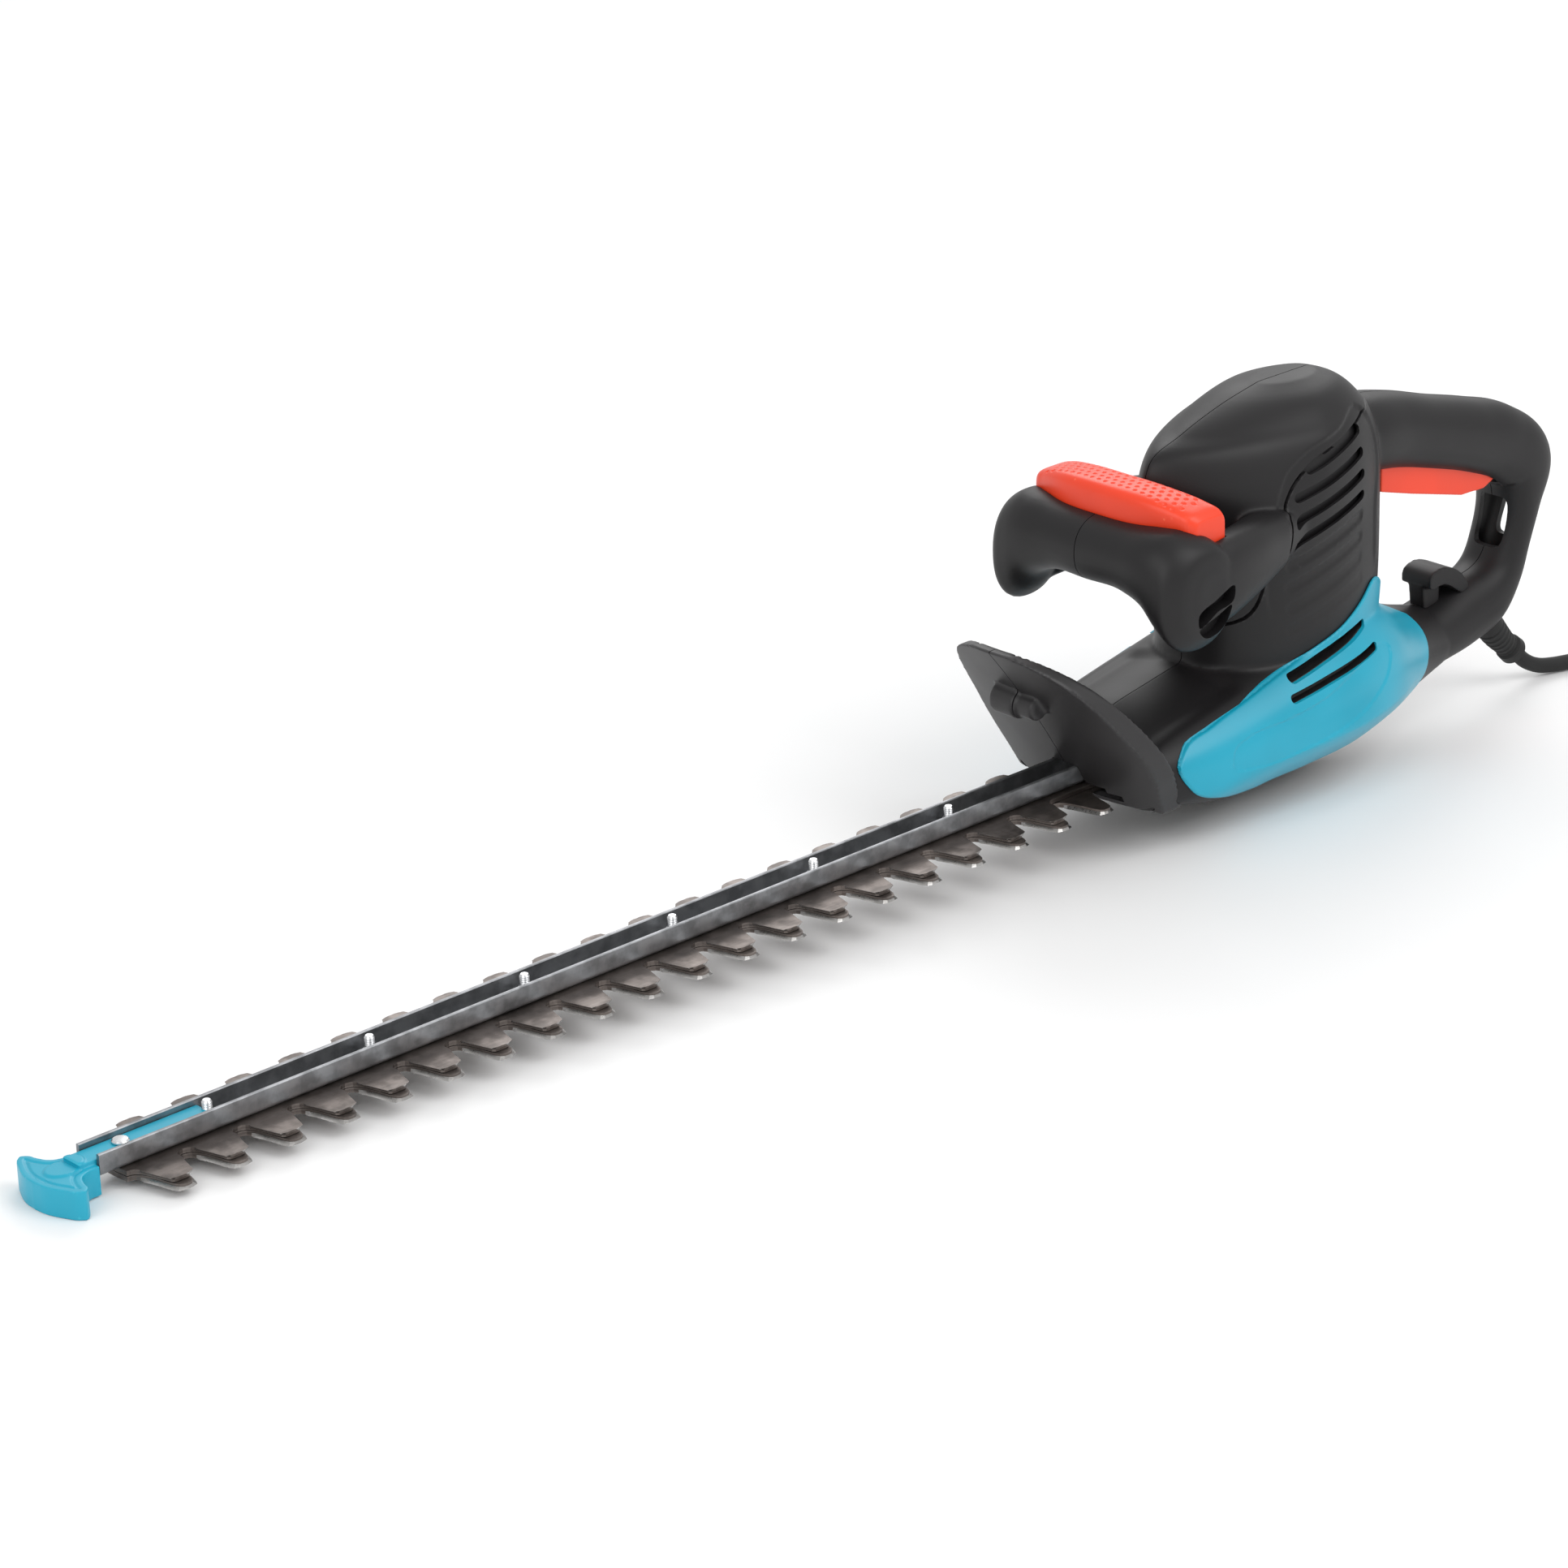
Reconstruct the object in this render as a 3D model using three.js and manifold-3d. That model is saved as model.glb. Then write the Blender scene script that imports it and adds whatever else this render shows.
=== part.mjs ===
// Electric hedge trimmer: 20 teeth at 25 mm pitch on a double-sided blade, motor upright in the tower.
// Millimetres. In the tool's own frame +X runs forward along the blade, +Y is the user's left and +Z is up,
// with x = 0 at the foremost lower tooth and z = 0 on top of the lower blade. The last group sets the tool
// down on its belly and blade tip, with the origin under the middle of its outline.
import * as THREE from "three";
import { mergeVertices } from "three/addons/utils/BufferGeometryUtils.js";
import Module from "manifold-3d";

const wasm = await Module();
wasm.setup();

// ---- driving dimensions ---------------------------------------------------------------
const GAP = 0.3; // between pieces that touch
const WALL = 2.6; // moulded shell
const SEAM = 0.15; // half the gap on the centre seam

const REST_PITCH = THREE.MathUtils.degToRad(2.35); // nose-down lie on a flat floor
const SHIFT_X = 367.7; // tool frame to the middle of the outline
const LIFT_Z = 5.4; // tool frame to the floor, after the pitch

const TEETH = 20;
const PITCH = 25;
const TOOTH_REACH = 29; // lower tooth tip to the centre plane
const CUTTER_REACH = 25.5; // upper tooth tip to the centre plane
const BACK_HALF = 9.5; // half width of a blade's solid back
const PLATE = 2; // blade plate
const UPPER_Z = GAP; // underside of the upper blade
const STROKE = 8; // each blade, either way from the middle
const BLADE_FRONT = 13;

const RAIL_HALF = 7;
const RAIL_FRONT = 22.5;
const RAIL_BACK = -500;
const RAIL_FLOOR = PLATE + 2 * GAP; // underside of the rail's web
const RAIL_TOP = 11.7;
const RAIL_SHEET = 1.6;
const BOLTS = 6;
const BOLT_FIRST = -31;
const BOLT_STEP = 76;

const MOTOR_X = -607.5;
const GEAR_X = -570;
const MODULE = 1.5;
const GEAR_TEETH = 40;
const PINION_TEETH = 10;
const GEAR_Z = 8;
const GEAR_THICK = 6;
const ECCENTRIC_R = 14;
const YOKE_CLEAR = 2; // a Scotch yoke at this throw strays 1.7 mm from an even stroke
const AXLE_R = 4;

const BAR_X = -503; // front grip bar, on the centre plane
const BAR_Z = 102.3;
const BAR_DEEP = 17; // half its depth
const BAR_HIGH = 14.7; // half its height
const BAR_TRAVEL = 4; // front switch bar, down
const TRIGGER_HALF = 8.5;
const CORD_R = 3.5;

// ---- colours --------------------------------------------------------------------------
const finish = {
  housing: [0x2b2a2c, 0.55, 0],
  guard: [0x3d3a3c, 0.5, 0],
  teal: [0x16a3c0, 0.4, 0],
  orange: [0xf2401f, 0.35, 0],
  steel: [0x9a9a9c, 0.35, 1],
  rail: [0x55585c, 0.4, 1],
  blade: [0x4a423f, 0.45, 1],
  zinc: [0xc6c8cc, 0.3, 1],
  copper: [0xb4663a, 0.4, 1],
  alloy: [0xa9acb0, 0.45, 1],
  rubber: [0x1c1c1d, 0.7, 0],
  brass: [0xb99a4f, 0.35, 1],
};

// ---- geometry helpers -----------------------------------------------------------------
// A closed three.js geometry as a solid that can be joined and cut.
function solid(geometry) {
  const bare = new THREE.BufferGeometry().setAttribute(
    "position",
    (geometry.index ? geometry.toNonIndexed() : geometry).getAttribute("position"),
  );
  const merged = mergeVertices(bare, 1e-4);
  return new wasm.Manifold(
    new wasm.Mesh({
      numProp: 3,
      vertProperties: merged.attributes.position.array,
      triVerts: new Uint32Array(merged.index.array),
    }),
  );
}

function geometryOf(body) {
  const mesh = body.getMesh();
  return new THREE.BufferGeometry()
    .setAttribute("position", new THREE.BufferAttribute(mesh.vertProperties, 3))
    .setIndex(new THREE.BufferAttribute(mesh.triVerts, 1));
}

const join = (first, ...others) => others.reduce((sum, next) => sum.add(next), first);
const cut = (first, ...tools) => tools.reduce((rest, tool) => rest.subtract(tool), first);

// A closed skin over rings of equal length, with a fan on each end.
function loft(rings) {
  const count = rings[0].length;
  const points = rings.flat();
  const faces = [];
  for (let i = 0; i + 1 < rings.length; i++) {
    for (let j = 0; j < count; j++) {
      const a = i * count + j;
      const b = i * count + ((j + 1) % count);
      faces.push(a, b, b + count, a, b + count, a + count);
    }
  }
  [rings[0], rings.at(-1)].forEach((ring, end) => {
    const middle = ring.reduce((sum, p) => sum.add(p), new THREE.Vector3()).divideScalar(count);
    const base = end ? (rings.length - 1) * count : 0;
    points.push(middle);
    for (let j = 0; j < count; j++) {
      const pair = [base + j, base + ((j + 1) % count)];
      faces.push(points.length - 1, ...(end ? pair : pair.reverse()));
    }
  });
  const skin = new THREE.BufferGeometry().setFromPoints(points);
  skin.setIndex(faces);
  const body = solid(skin);
  return body.volume() < 0 ? solid(flipped(skin)) : body;
}

function flipped(geometry) {
  const turned = geometry.clone();
  const order = [...geometry.index.array];
  for (let i = 0; i < order.length; i += 3) [order[i + 1], order[i + 2]] = [order[i + 2], order[i + 1]];
  return turned.setIndex(order);
}

const signedPower = (value, power) => Math.sign(value) * Math.abs(value) ** power;

// A rounded ring as [u, v] pairs. upper and lower are the squareness above and below v = 0.
function roundedRing(half, up, down, upper, lower, count) {
  return Array.from({ length: count }, (_, i) => {
    const angle = (2 * Math.PI * (i + 0.5)) / count;
    const above = Math.sin(angle) > 0;
    const n = 2 / (above ? upper : lower);
    return [
      half * signedPower(Math.cos(angle), n),
      (above ? up : down) * signedPower(Math.sin(angle), n),
    ];
  });
}

function extruded(outline, depth) {
  const shape = new THREE.Shape(outline.map(([u, v]) => new THREE.Vector2(u, v)));
  return new THREE.ExtrudeGeometry(shape, { depth, bevelEnabled: false });
}

// A flat plate with its outline in XY, between two heights.
const plateXY = (outline, low, high) => solid(extruded(outline, high - low).translate(0, 0, low));

// A flat plate with its outline in XZ, between two y values.
const plateXZ = (outline, low, high) =>
  solid(extruded(outline, high - low).rotateX(Math.PI / 2).translate(0, high, 0));

// A flat plate with its outline in YZ, between two x values.
const plateYZ = (outline, low, high) =>
  solid(
    extruded(outline, high - low)
      .rotateZ(Math.PI / 2)
      .rotateY(Math.PI / 2)
      .translate(low, 0, 0),
  );

function block(x0, x1, y0, y1, z0, z1) {
  const box = new THREE.BoxGeometry(x1 - x0, y1 - y0, z1 - z0);
  return solid(box.translate((x0 + x1) / 2, (y0 + y1) / 2, (z0 + z1) / 2));
}

// A body of revolution about a vertical axis at x, y, from [radius, z] pairs.
function turned(profile, x = 0, y = 0, sides = 16) {
  const points = profile.map(([r, z]) => new THREE.Vector2(r, z));
  return solid(new THREE.LatheGeometry(points, sides).rotateX(Math.PI / 2).translate(x, y, 0));
}

const rod = (radius, low, high, x = 0, y = 0, sides = 16) =>
  turned([[0, low], [radius, low], [radius, high], [0, high]], x, y, sides);

const sleeve = (inner, outer, low, high, x = 0, y = 0, sides = 16) =>
  turned([[inner, low], [outer, low], [outer, high], [inner, high], [inner, low]], x, y, sides);

// A round bar along Y.
const crossRod = (radius, x, z, y0, y1, sides = 16) =>
  solid(new THREE.CylinderGeometry(radius, radius, y1 - y0, sides).translate(x, (y0 + y1) / 2, z));

const half = (body, side) => {
  const far = 400;
  const room = side > 0 ? [SEAM, far] : [-far, -SEAM];
  return body.intersect(block(-900, 200, room[0], room[1], -200, far));
};

// ---- casing shapes --------------------------------------------------------------------
// Lower body: sections across the tool, [x, half width, top, widest height, bottom, upper n, lower n].
const BODY = [
  [-492, 40, 23, 6, -6, 3, 6],
  [-505, 44, 28, 5, -8, 2.6, 4],
  [-530, 48, 33, 4, -18, 2.6, 2.2],
  [-560, 50, 38, 4, -29, 2.8, 1.4],
  [-590, 51, 44, 4, -31.5, 2.8, 1.25],
  [-620, 49, 47, 5, -31.5, 2.8, 1.25],
  [-645, 42, 44, 6, -24, 2.6, 1.4],
  [-665, 33, 34, 7, -17, 2.4, 1.7],
  [-687, 23, 24, 5, -13, 2.2, 2],
  [-706, 17, 19, 4, -10, 2, 2],
];

function bodyShape(grow) {
  return loft(
    BODY.map(([x, w, top, mid, bottom, upper, lower], i) => {
      const end = i ? (i === BODY.length - 1 ? -grow : 0) : grow;
      return roundedRing(w + grow, top - mid + grow, mid - bottom + grow, upper, lower, 20).map(
        ([y, z]) => new THREE.Vector3(x + end, y, mid + z),
      );
    }),
  );
}

// Tower and hood: level sections, [z, front, widest x, rear, half width, front n, rear n].
const TOWER = [
  [10, -548, -600, -659, 34, 2.4, 2],
  [50, -551, -600, -663, 37.5, 2.4, 2],
  [90, -548, -600, -663, 39, 2.3, 2],
  [108, -537, -600, -662, 40, 1.75, 2],
  [120, -528, -600, -660, 39, 1.45, 2],
  [130, -531, -602, -656, 36.5, 1.4, 2],
  [138, -550, -606, -650, 31, 1.45, 2],
  [145.5, -575, -611, -641, 22.5, 1.6, 2],
  [150, -598, -615, -630, 10, 2, 2],
];

function towerShape(grow) {
  return loft(
    TOWER.map(([z, front, middle, rear, w, forward, back], i) => {
      const end = i === TOWER.length - 1 ? grow : 0;
      return roundedRing(w + grow, front - middle + grow, middle - rear + grow, forward, back, 22).map(
        ([y, x]) => new THREE.Vector3(middle + x, y, z + end),
      );
    }),
  );
}

// Rear handle: stations along its middle line, [x, z, half thickness in the plane, half width].
const LOOP = [
  [-640, 113, 17, 19],
  [-660, 112, 17.5, 19],
  [-679, 108.5, 17, 17.5],
  [-705, 101, 16.5, 17],
  [-731, 93, 17, 17],
  [-751, 85, 18, 17],
  [-766, 72, 18, 17],
  [-765, 55, 11.5, 15.5],
  [-760, 38, 9.5, 15],
  [-753.5, 23.5, 11.5, 15],
  [-744, 14.5, 15, 15.5],
  [-729, 9.5, 15.5, 15.5],
  [-708, 5.5, 14, 16.5],
  [-688, 4, 14, 18],
];

function loopShape(grow) {
  return loft(
    LOOP.map(([x, z, thick, wide], i) => {
      const [ax, az] = LOOP[Math.max(i - 1, 0)];
      const [bx, bz] = LOOP[Math.min(i + 1, LOOP.length - 1)];
      const along = new THREE.Vector2(bx - ax, bz - az).normalize();
      return roundedRing(wide + grow, thick + grow, thick + grow, 2.3, 2.3, 14).map(
        ([y, v]) => new THREE.Vector3(x - along.y * v, y, z + along.x * v),
      );
    }),
  );
}

// Front grip: sections across the bar, [|y|, x, z, half depth, half height], out to the rounded shoulders.
const GRIP = [
  [0, BAR_X, BAR_Z, BAR_DEEP, BAR_HIGH],
  [22, -503, 102, 17, 15],
  [35, -503, 99.5, 17.5, 18],
  [43, -505, 94, 19, 23],
  [48.5, -507, 90.5, 20, 24],
  [53, -509, 91, 17, 20],
  [55.5, -511, 91, 11, 12],
];

function gripShape() {
  const mirror = GRIP.slice(1).map(([y, ...rest]) => [-y, ...rest]);
  return loft(
    [...mirror.reverse(), ...GRIP].map(([y, x, z, deep, high]) =>
      roundedRing(deep, high, high, 2.3, 2.3, 14).map(([u, v]) => new THREE.Vector3(x + u, y, z + v)),
    ),
  );
}

// Shoulder that carries the grip back into the hood: sections across the tool,
// [x, inner y, outer y, low, high].
const SHOULDER = [
  [-508, 40, 55, 72, 106],
  [-525, 36, 55, 74, 110],
  [-545, 30, 52, 78, 110],
  [-566, 22, 46, 82, 108],
  [-590, 14, 38, 86, 106],
];

function shoulder(side) {
  return loft(
    SHOULDER.map(([x, inner, outer, low, high]) =>
      roundedRing((outer - inner) / 2, (high - low) / 2, (high - low) / 2, 2.6, 2.6, 14).map(
        ([y, z]) => new THREE.Vector3(x, side * ((inner + outer) / 2 + y), (low + high) / 2 + z),
      ),
    ),
  );
}

// Where the hood ends and the main casing begins, seen from the side.
const HOOD_ZONE = [
  [-440, 56],
  [-552, 56],
  [-560, 60],
  [-582, 117],
  [-592, 124],
  [-634, 134],
  [-700, 138],
  [-700, 170],
  [-440, 170],
];

// Outline of a side cover, seen from the side.
const COVER = [
  [-503, 14],
  [-509, 20],
  [-526, 25],
  [-554, 31.5],
  [-578, 37],
  [-596, 41],
  [-612, 45.5],
  [-626, 52],
  [-637, 58],
  [-655, 50],
  [-672, 37],
  [-683, 18],
  [-679, 6],
  [-660, -4],
  [-625, -12],
  [-591, -14],
  [-552, -12],
  [-528, -7],
  [-509, 2],
];

// The floor's height under the tool, in the tool's own frame.
const floorHeight = (x) => x * Math.tan(REST_PITCH) - LIFT_Z / Math.cos(REST_PITCH);

// Everything below the floor line, to cut the belly's flat.
const belowFloor = plateXZ(
  [
    [200, floorHeight(200)],
    [-900, floorHeight(-900)],
    [-900, -300],
    [200, -300],
  ],
  -200,
  200,
);

// A slanting slot through the casing wall on one side, from [x, z] to [x, z].
function wallSlot(side, from, to, high, y0, y1) {
  const along = new THREE.Vector2(to[0] - from[0], to[1] - from[1]);
  const box = new THREE.BoxGeometry(along.length(), y1 - y0, high);
  box.rotateY(-Math.atan2(along.y, along.x));
  box.translate((from[0] + to[0]) / 2, (side * (y0 + y1)) / 2, (from[1] + to[1]) / 2);
  return solid(box);
}

// Cooling slots: [from, to] pairs. The tower's four lie above one another, the cover's two along its top.
const TOWER_SLOTS = [0, 1, 2, 3].map((i) => [[-580, 90 + 9.5 * i], [-625, 100.5 + 9.5 * i]]);
const TOWER_SLOT_HIGH = 4.6;
const COVER_SLOT_HIGH = 3.7;
const COVER_SLOTS = [
  [[-574, 33], [-626, 42]],
  [[-570, 26.2], [-626, 33.2]],
];

// ---- assembly -------------------------------------------------------------------------
const object = new THREE.Group();
const tool = new THREE.Group();
tool.rotation.y = REST_PITCH;
tool.position.set(SHIFT_X, 0, LIFT_Z);
object.add(tool);

function add(name, body, look, group = tool) {
  const [color, roughness, metalness] = finish[look];
  const mesh = new THREE.Mesh(
    geometryOf(body),
    new THREE.MeshStandardMaterial({ color, roughness, metalness }),
  );
  mesh.name = name;
  group.add(mesh);
}

const SIDES = [
  ["left", 1],
  ["right", -1],
];

// ---- blades ---------------------------------------------------------------------------
// One tooth's outline as [along, out] pairs from its root, for a tooth that points to +y.
const bothFlanks = (flank) => [...flank, ...flank.map(([u, v]) => [-u, v]).reverse()];
const LOWER_TOOTH = bothFlanks([[8.6, BACK_HALF], [5.6, 16], [4, 26], [1.6, TOOTH_REACH]]);
const UPPER_TOOTH = bothFlanks([[8.2, BACK_HALF], [6.4, 15], [3.6, CUTTER_REACH]]);
const YOKE_X = ECCENTRIC_R + YOKE_CLEAR;
const YOKE_Y = ECCENTRIC_R + STROKE + 0.6;
const YOKE_WALL = 5;

// The far row of teeth stands half a pitch behind the near one.
function blade(tooth, nearTeeth, farTeeth, low) {
  const near = [];
  for (let k = 0; k < nearTeeth; k++) near.push(...tooth.map(([u, v]) => [u - k * PITCH, v]));
  const far = [];
  for (let k = 0; k < farTeeth; k++) far.push(...tooth.map(([u, v]) => [u - (k + 0.5) * PITCH, -v]));
  const back = GEAR_X + YOKE_X + YOKE_WALL;
  const outline = [[BLADE_FRONT, -5], [BLADE_FRONT, 5], [10, BACK_HALF], ...near, [back, BACK_HALF]];
  outline.push([back, -BACK_HALF], ...far.reverse(), [10, -BACK_HALF]);
  const yoke = block(
    GEAR_X - YOKE_X - YOKE_WALL,
    back + 1,
    -YOKE_Y - YOKE_WALL,
    YOKE_Y + YOKE_WALL,
    low,
    low + PLATE,
  );
  const slot = block(GEAR_X - YOKE_X, GEAR_X + YOKE_X, -YOKE_Y, YOKE_Y, low - 1, low + PLATE + 1);
  const bolts = [];
  for (let i = 0; i < BOLTS; i++) {
    const x = BOLT_FIRST - i * BOLT_STEP;
    bolts.push(block(x - STROKE - 3, x + STROKE + 3, -2.8, 2.8, low - 1, low + PLATE + 1));
  }
  return cut(join(plateXY(outline, low, low + PLATE), yoke), slot, ...bolts);
}

add("lower_blade", blade(LOWER_TOOTH, TEETH, TEETH - 1, -PLATE), "blade");
add("upper_blade", blade(UPPER_TOOTH, TEETH - 1, TEETH - 1, UPPER_Z), "blade");

const railSection = [
  [-RAIL_HALF, RAIL_FLOOR],
  [RAIL_HALF, RAIL_FLOOR],
  [RAIL_HALF, RAIL_TOP],
  [RAIL_HALF - RAIL_SHEET, RAIL_TOP],
  [RAIL_HALF - RAIL_SHEET, RAIL_FLOOR + RAIL_SHEET],
  [RAIL_SHEET - RAIL_HALF, RAIL_FLOOR + RAIL_SHEET],
  [RAIL_SHEET - RAIL_HALF, RAIL_TOP],
  [-RAIL_HALF, RAIL_TOP],
];
const boltHoles = Array.from({ length: BOLTS }, (_, i) =>
  rod(2.5, RAIL_FLOOR - 1, RAIL_FLOOR + 3, BOLT_FIRST - i * BOLT_STEP, 0, 12),
);
const tipRivetX = 8;
boltHoles.push(rod(2.3, RAIL_FLOOR - 1, RAIL_FLOOR + 3, tipRivetX, 0, 12));
add("guide_rail", cut(plateYZ(railSection, RAIL_BACK, RAIL_FRONT), ...boltHoles), "rail");

for (let i = 0; i < BOLTS; i++) {
  const x = BOLT_FIRST - i * BOLT_STEP;
  const nut = RAIL_FLOOR + RAIL_SHEET + GAP;
  const profile = [
    [0, -4.4],
    [4.4, -4.4],
    [4.4, -PLATE - GAP],
    [2.1, -PLATE - GAP],
    [2.1, nut],
    [3.6, nut],
    [3.6, nut + 2.6],
    [2.1, nut + 2.6],
    [2.1, nut + 5],
    [0, nut + 5],
  ];
  add(`blade_bolt_${i + 1}`, turned(profile, x, 0, 6), "zinc");
}

// The tip guard's outline, front edge first.
const TIP_OUTLINE = [
  [47, 0],
  [46, 8],
  [42.5, 15.5],
  [38.5, 20],
  [35.5, 19],
  [33, 11],
  [RAIL_FRONT + GAP, 7.6],
];
const tipPoints = [...TIP_OUTLINE, ...TIP_OUTLINE.slice(1).reverse().map(([x, y]) => [x, -y])];
const tongueHalf = RAIL_HALF - RAIL_SHEET - GAP;
const tongueLow = RAIL_FLOOR + RAIL_SHEET + GAP;
const tipBody = cut(
  join(plateXY(tipPoints, -3.9, 7.6), block(-46, 30, -tongueHalf, tongueHalf, tongueLow, 9.4)),
  rod(2.3, 0, 12, tipRivetX, 0, 12),
  block(20, 27, -6, 6, -5, RAIL_FLOOR),
  block(BOLT_FIRST - 4, BOLT_FIRST + 4, -6, 6, 0, 12),
  block(-60, BOLT_FIRST, -6, 6, 0, 12),
);
add("tip_guard", cut(tipBody, belowFloor), "teal");
const rivet = [
  [0, RAIL_FLOOR - 0.1],
  [1.9, RAIL_FLOOR - 0.1],
  [1.9, 9.7],
  [3.4, 9.7],
  [3.4, 10.9],
  [0, 10.9],
];
add("tip_rivet", turned(rivet, tipRivetX, 0, 10), "zinc");

// ---- drive ----------------------------------------------------------------------------
function gearOutline(teeth, radius, turn) {
  const pitchAngle = (2 * Math.PI) / teeth;
  const outline = [];
  for (let i = 0; i < teeth; i++) {
    const middle = turn + i * pitchAngle;
    for (const [part, reach] of [[-0.27, -1.2], [-0.1, 0.85], [0.1, 0.85], [0.27, -1.2]]) {
      const angle = middle + part * pitchAngle;
      const r = radius + reach * MODULE;
      outline.push([r * Math.cos(angle), r * Math.sin(angle)]);
    }
  }
  return outline;
}

const at = (outline, x) => outline.map(([u, v]) => [u + x, v]);
const gearRadius = (MODULE * GEAR_TEETH) / 2;
const pinionRadius = (MODULE * PINION_TEETH) / 2;
// A gear tooth points back at the motor, where the pinion shows a gap.
const gearPoints = at(gearOutline(GEAR_TEETH, gearRadius, Math.PI), GEAR_X);
const pinionPoints = at(gearOutline(PINION_TEETH, pinionRadius, Math.PI / PINION_TEETH), MOTOR_X);
const axleBore = rod(AXLE_R + GAP, -20, 40, GEAR_X);

add(
  "drive_gear",
  cut(
    join(
      plateXY(gearPoints, GEAR_Z, GEAR_Z + GEAR_THICK),
      rod(9, UPPER_Z + PLATE + GAP, GEAR_Z + 1, GEAR_X),
    ),
    axleBore,
  ),
  "steel",
);
add("upper_eccentric", cut(rod(ECCENTRIC_R, UPPER_Z, UPPER_Z + PLATE, GEAR_X, STROKE), axleBore), "steel");
add("lower_eccentric", cut(rod(ECCENTRIC_R, -PLATE, 0, GEAR_X, -STROKE), axleBore), "steel");
add("gear_axle", rod(AXLE_R, -7.5, 19.5, GEAR_X), "steel");

const CASE = { front: -524, back: -634, half: 30.5, low: -7.5, high: -4, cover: 17 };
const posts = [CASE.front - 8, CASE.back + 6].flatMap((x) =>
  [-1, 1].map((side) => rod(3.5, CASE.low + 1, CASE.cover - GAP, x, side * (CASE.half - 4), 12)),
);
add(
  "gear_case",
  cut(join(block(CASE.back, CASE.front, -CASE.half, CASE.half, CASE.low, CASE.high), ...posts), axleBore),
  "alloy",
);
const bearingSeat = sleeve(11.3, 13.8, CASE.cover + 1, 28, MOTOR_X);
add(
  "gear_cover",
  cut(
    join(
      block(CASE.back, CASE.front, -CASE.half, CASE.half, CASE.cover, CASE.cover + 3),
      bearingSeat,
    ),
    rod(6, 0, 40, MOTOR_X),
    axleBore,
  ),
  "alloy",
);

// ---- motor ----------------------------------------------------------------------------
const shaft = [
  [0, GEAR_Z - 1],
  [2.5, GEAR_Z - 1],
  [2.5, 19],
  [4, 19],
  [4, 127],
  [0, 127],
];
const SHAFT_BORE = 4 + GAP;
add("motor_shaft", turned(shaft, MOTOR_X), "steel");
add(
  "motor_pinion",
  cut(plateXY(pinionPoints, GEAR_Z - 0.5, GEAR_Z + GEAR_THICK + 0.5), rod(2.8, 0, 20, MOTOR_X)),
  "steel",
);
add("lower_bearing", sleeve(SHAFT_BORE, 11, 20.4, 27.4, MOTOR_X), "steel");
add("upper_bearing", sleeve(SHAFT_BORE, 9.5, 118, 125, MOTOR_X), "steel");

const FAN_BLADES = 8;
const fanBlades = Array.from({ length: FAN_BLADES }, (_, i) => {
  const blade = new THREE.BoxGeometry(20, 1.6, 9).translate(18, 0, 37.5);
  blade.rotateZ((2 * Math.PI * i) / FAN_BLADES);
  return solid(blade.translate(MOTOR_X, 0, 0));
});
add(
  "cooling_fan",
  join(sleeve(SHAFT_BORE, 9, 32, 42, MOTOR_X), sleeve(8.5, 29, 32, 33.6, MOTOR_X), ...fanBlades),
  "rubber",
);

const SLOTS = 12;
const CORE_R = 18;
const corePoints = [];
for (let i = 0; i < SLOTS; i++) {
  for (const [part, r] of [[-0.38, CORE_R], [0.38, CORE_R], [0.44, 10], [0.56, 10]]) {
    const angle = (2 * Math.PI * (i + part)) / SLOTS;
    corePoints.push([MOTOR_X + r * Math.cos(angle), r * Math.sin(angle)]);
  }
}
add("armature_core", cut(plateXY(corePoints, 52, 90), rod(SHAFT_BORE, 40, 100, MOTOR_X)), "steel");
add("armature_winding_lower", sleeve(SHAFT_BORE, 16, 45, 51.7, MOTOR_X), "copper");
add("armature_winding_upper", sleeve(SHAFT_BORE, 16, 90.3, 98, MOTOR_X), "copper");
add("commutator", sleeve(SHAFT_BORE, 11, 99, 112, MOTOR_X), "copper");

const STATOR = { inner: 19.5, yoke: 25, outer: 33, low: 50, high: 92, pole: 12 };
const poleRing = sleeve(STATOR.inner, STATOR.yoke + 1, STATOR.low, STATOR.high, MOTOR_X);
const poles = SIDES.map(([, side]) => {
  const room = block(MOTOR_X - STATOR.pole, MOTOR_X + STATOR.pole, -6, 6, STATOR.low, STATOR.high);
  return poleRing.intersect(room.translate([0, side * 21, 0]));
});
add(
  "stator_core",
  join(sleeve(STATOR.yoke, STATOR.outer, STATOR.low, STATOR.high, MOTOR_X), ...poles),
  "steel",
);
for (const [name, side] of SIDES) {
  const ring = sleeve(STATOR.inner, STATOR.yoke - GAP, STATOR.low - 5, STATOR.high + 5, MOTOR_X);
  const near = block(MOTOR_X - 17, MOTOR_X + 17, side > 0 ? 8 : -40, side > 0 ? 40 : -8, 0, 120);
  const window = block(
    MOTOR_X - STATOR.pole - GAP,
    MOTOR_X + STATOR.pole + GAP,
    -40,
    40,
    STATOR.low - GAP,
    STATOR.high + GAP,
  );
  add(`field_coil_${name}`, cut(ring.intersect(near), window), "copper");
}
for (const [name, side] of SIDES) {
  const span = (a, b) => (side > 0 ? [a, b] : [-b, -a]);
  const channel = block(MOTOR_X - 3.4, MOTOR_X + 3.4, ...span(10, 40), 102.6, 109.4);
  const holder = cut(block(MOTOR_X - 5.5, MOTOR_X + 5.5, ...span(14, 32), 100.5, 111.5), channel);
  add(`brush_holder_${name}`, holder, "brass");
  add(`carbon_brush_${name}`, block(MOTOR_X - 3, MOTOR_X + 3, ...span(11.4, 26), 103, 109), "rubber");
}
add(
  "bearing_carrier",
  join(sleeve(9.8, 33, 113.5, 116.5, MOTOR_X), sleeve(9.8, 12.5, 116, 125, MOTOR_X)),
  "housing",
);
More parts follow.
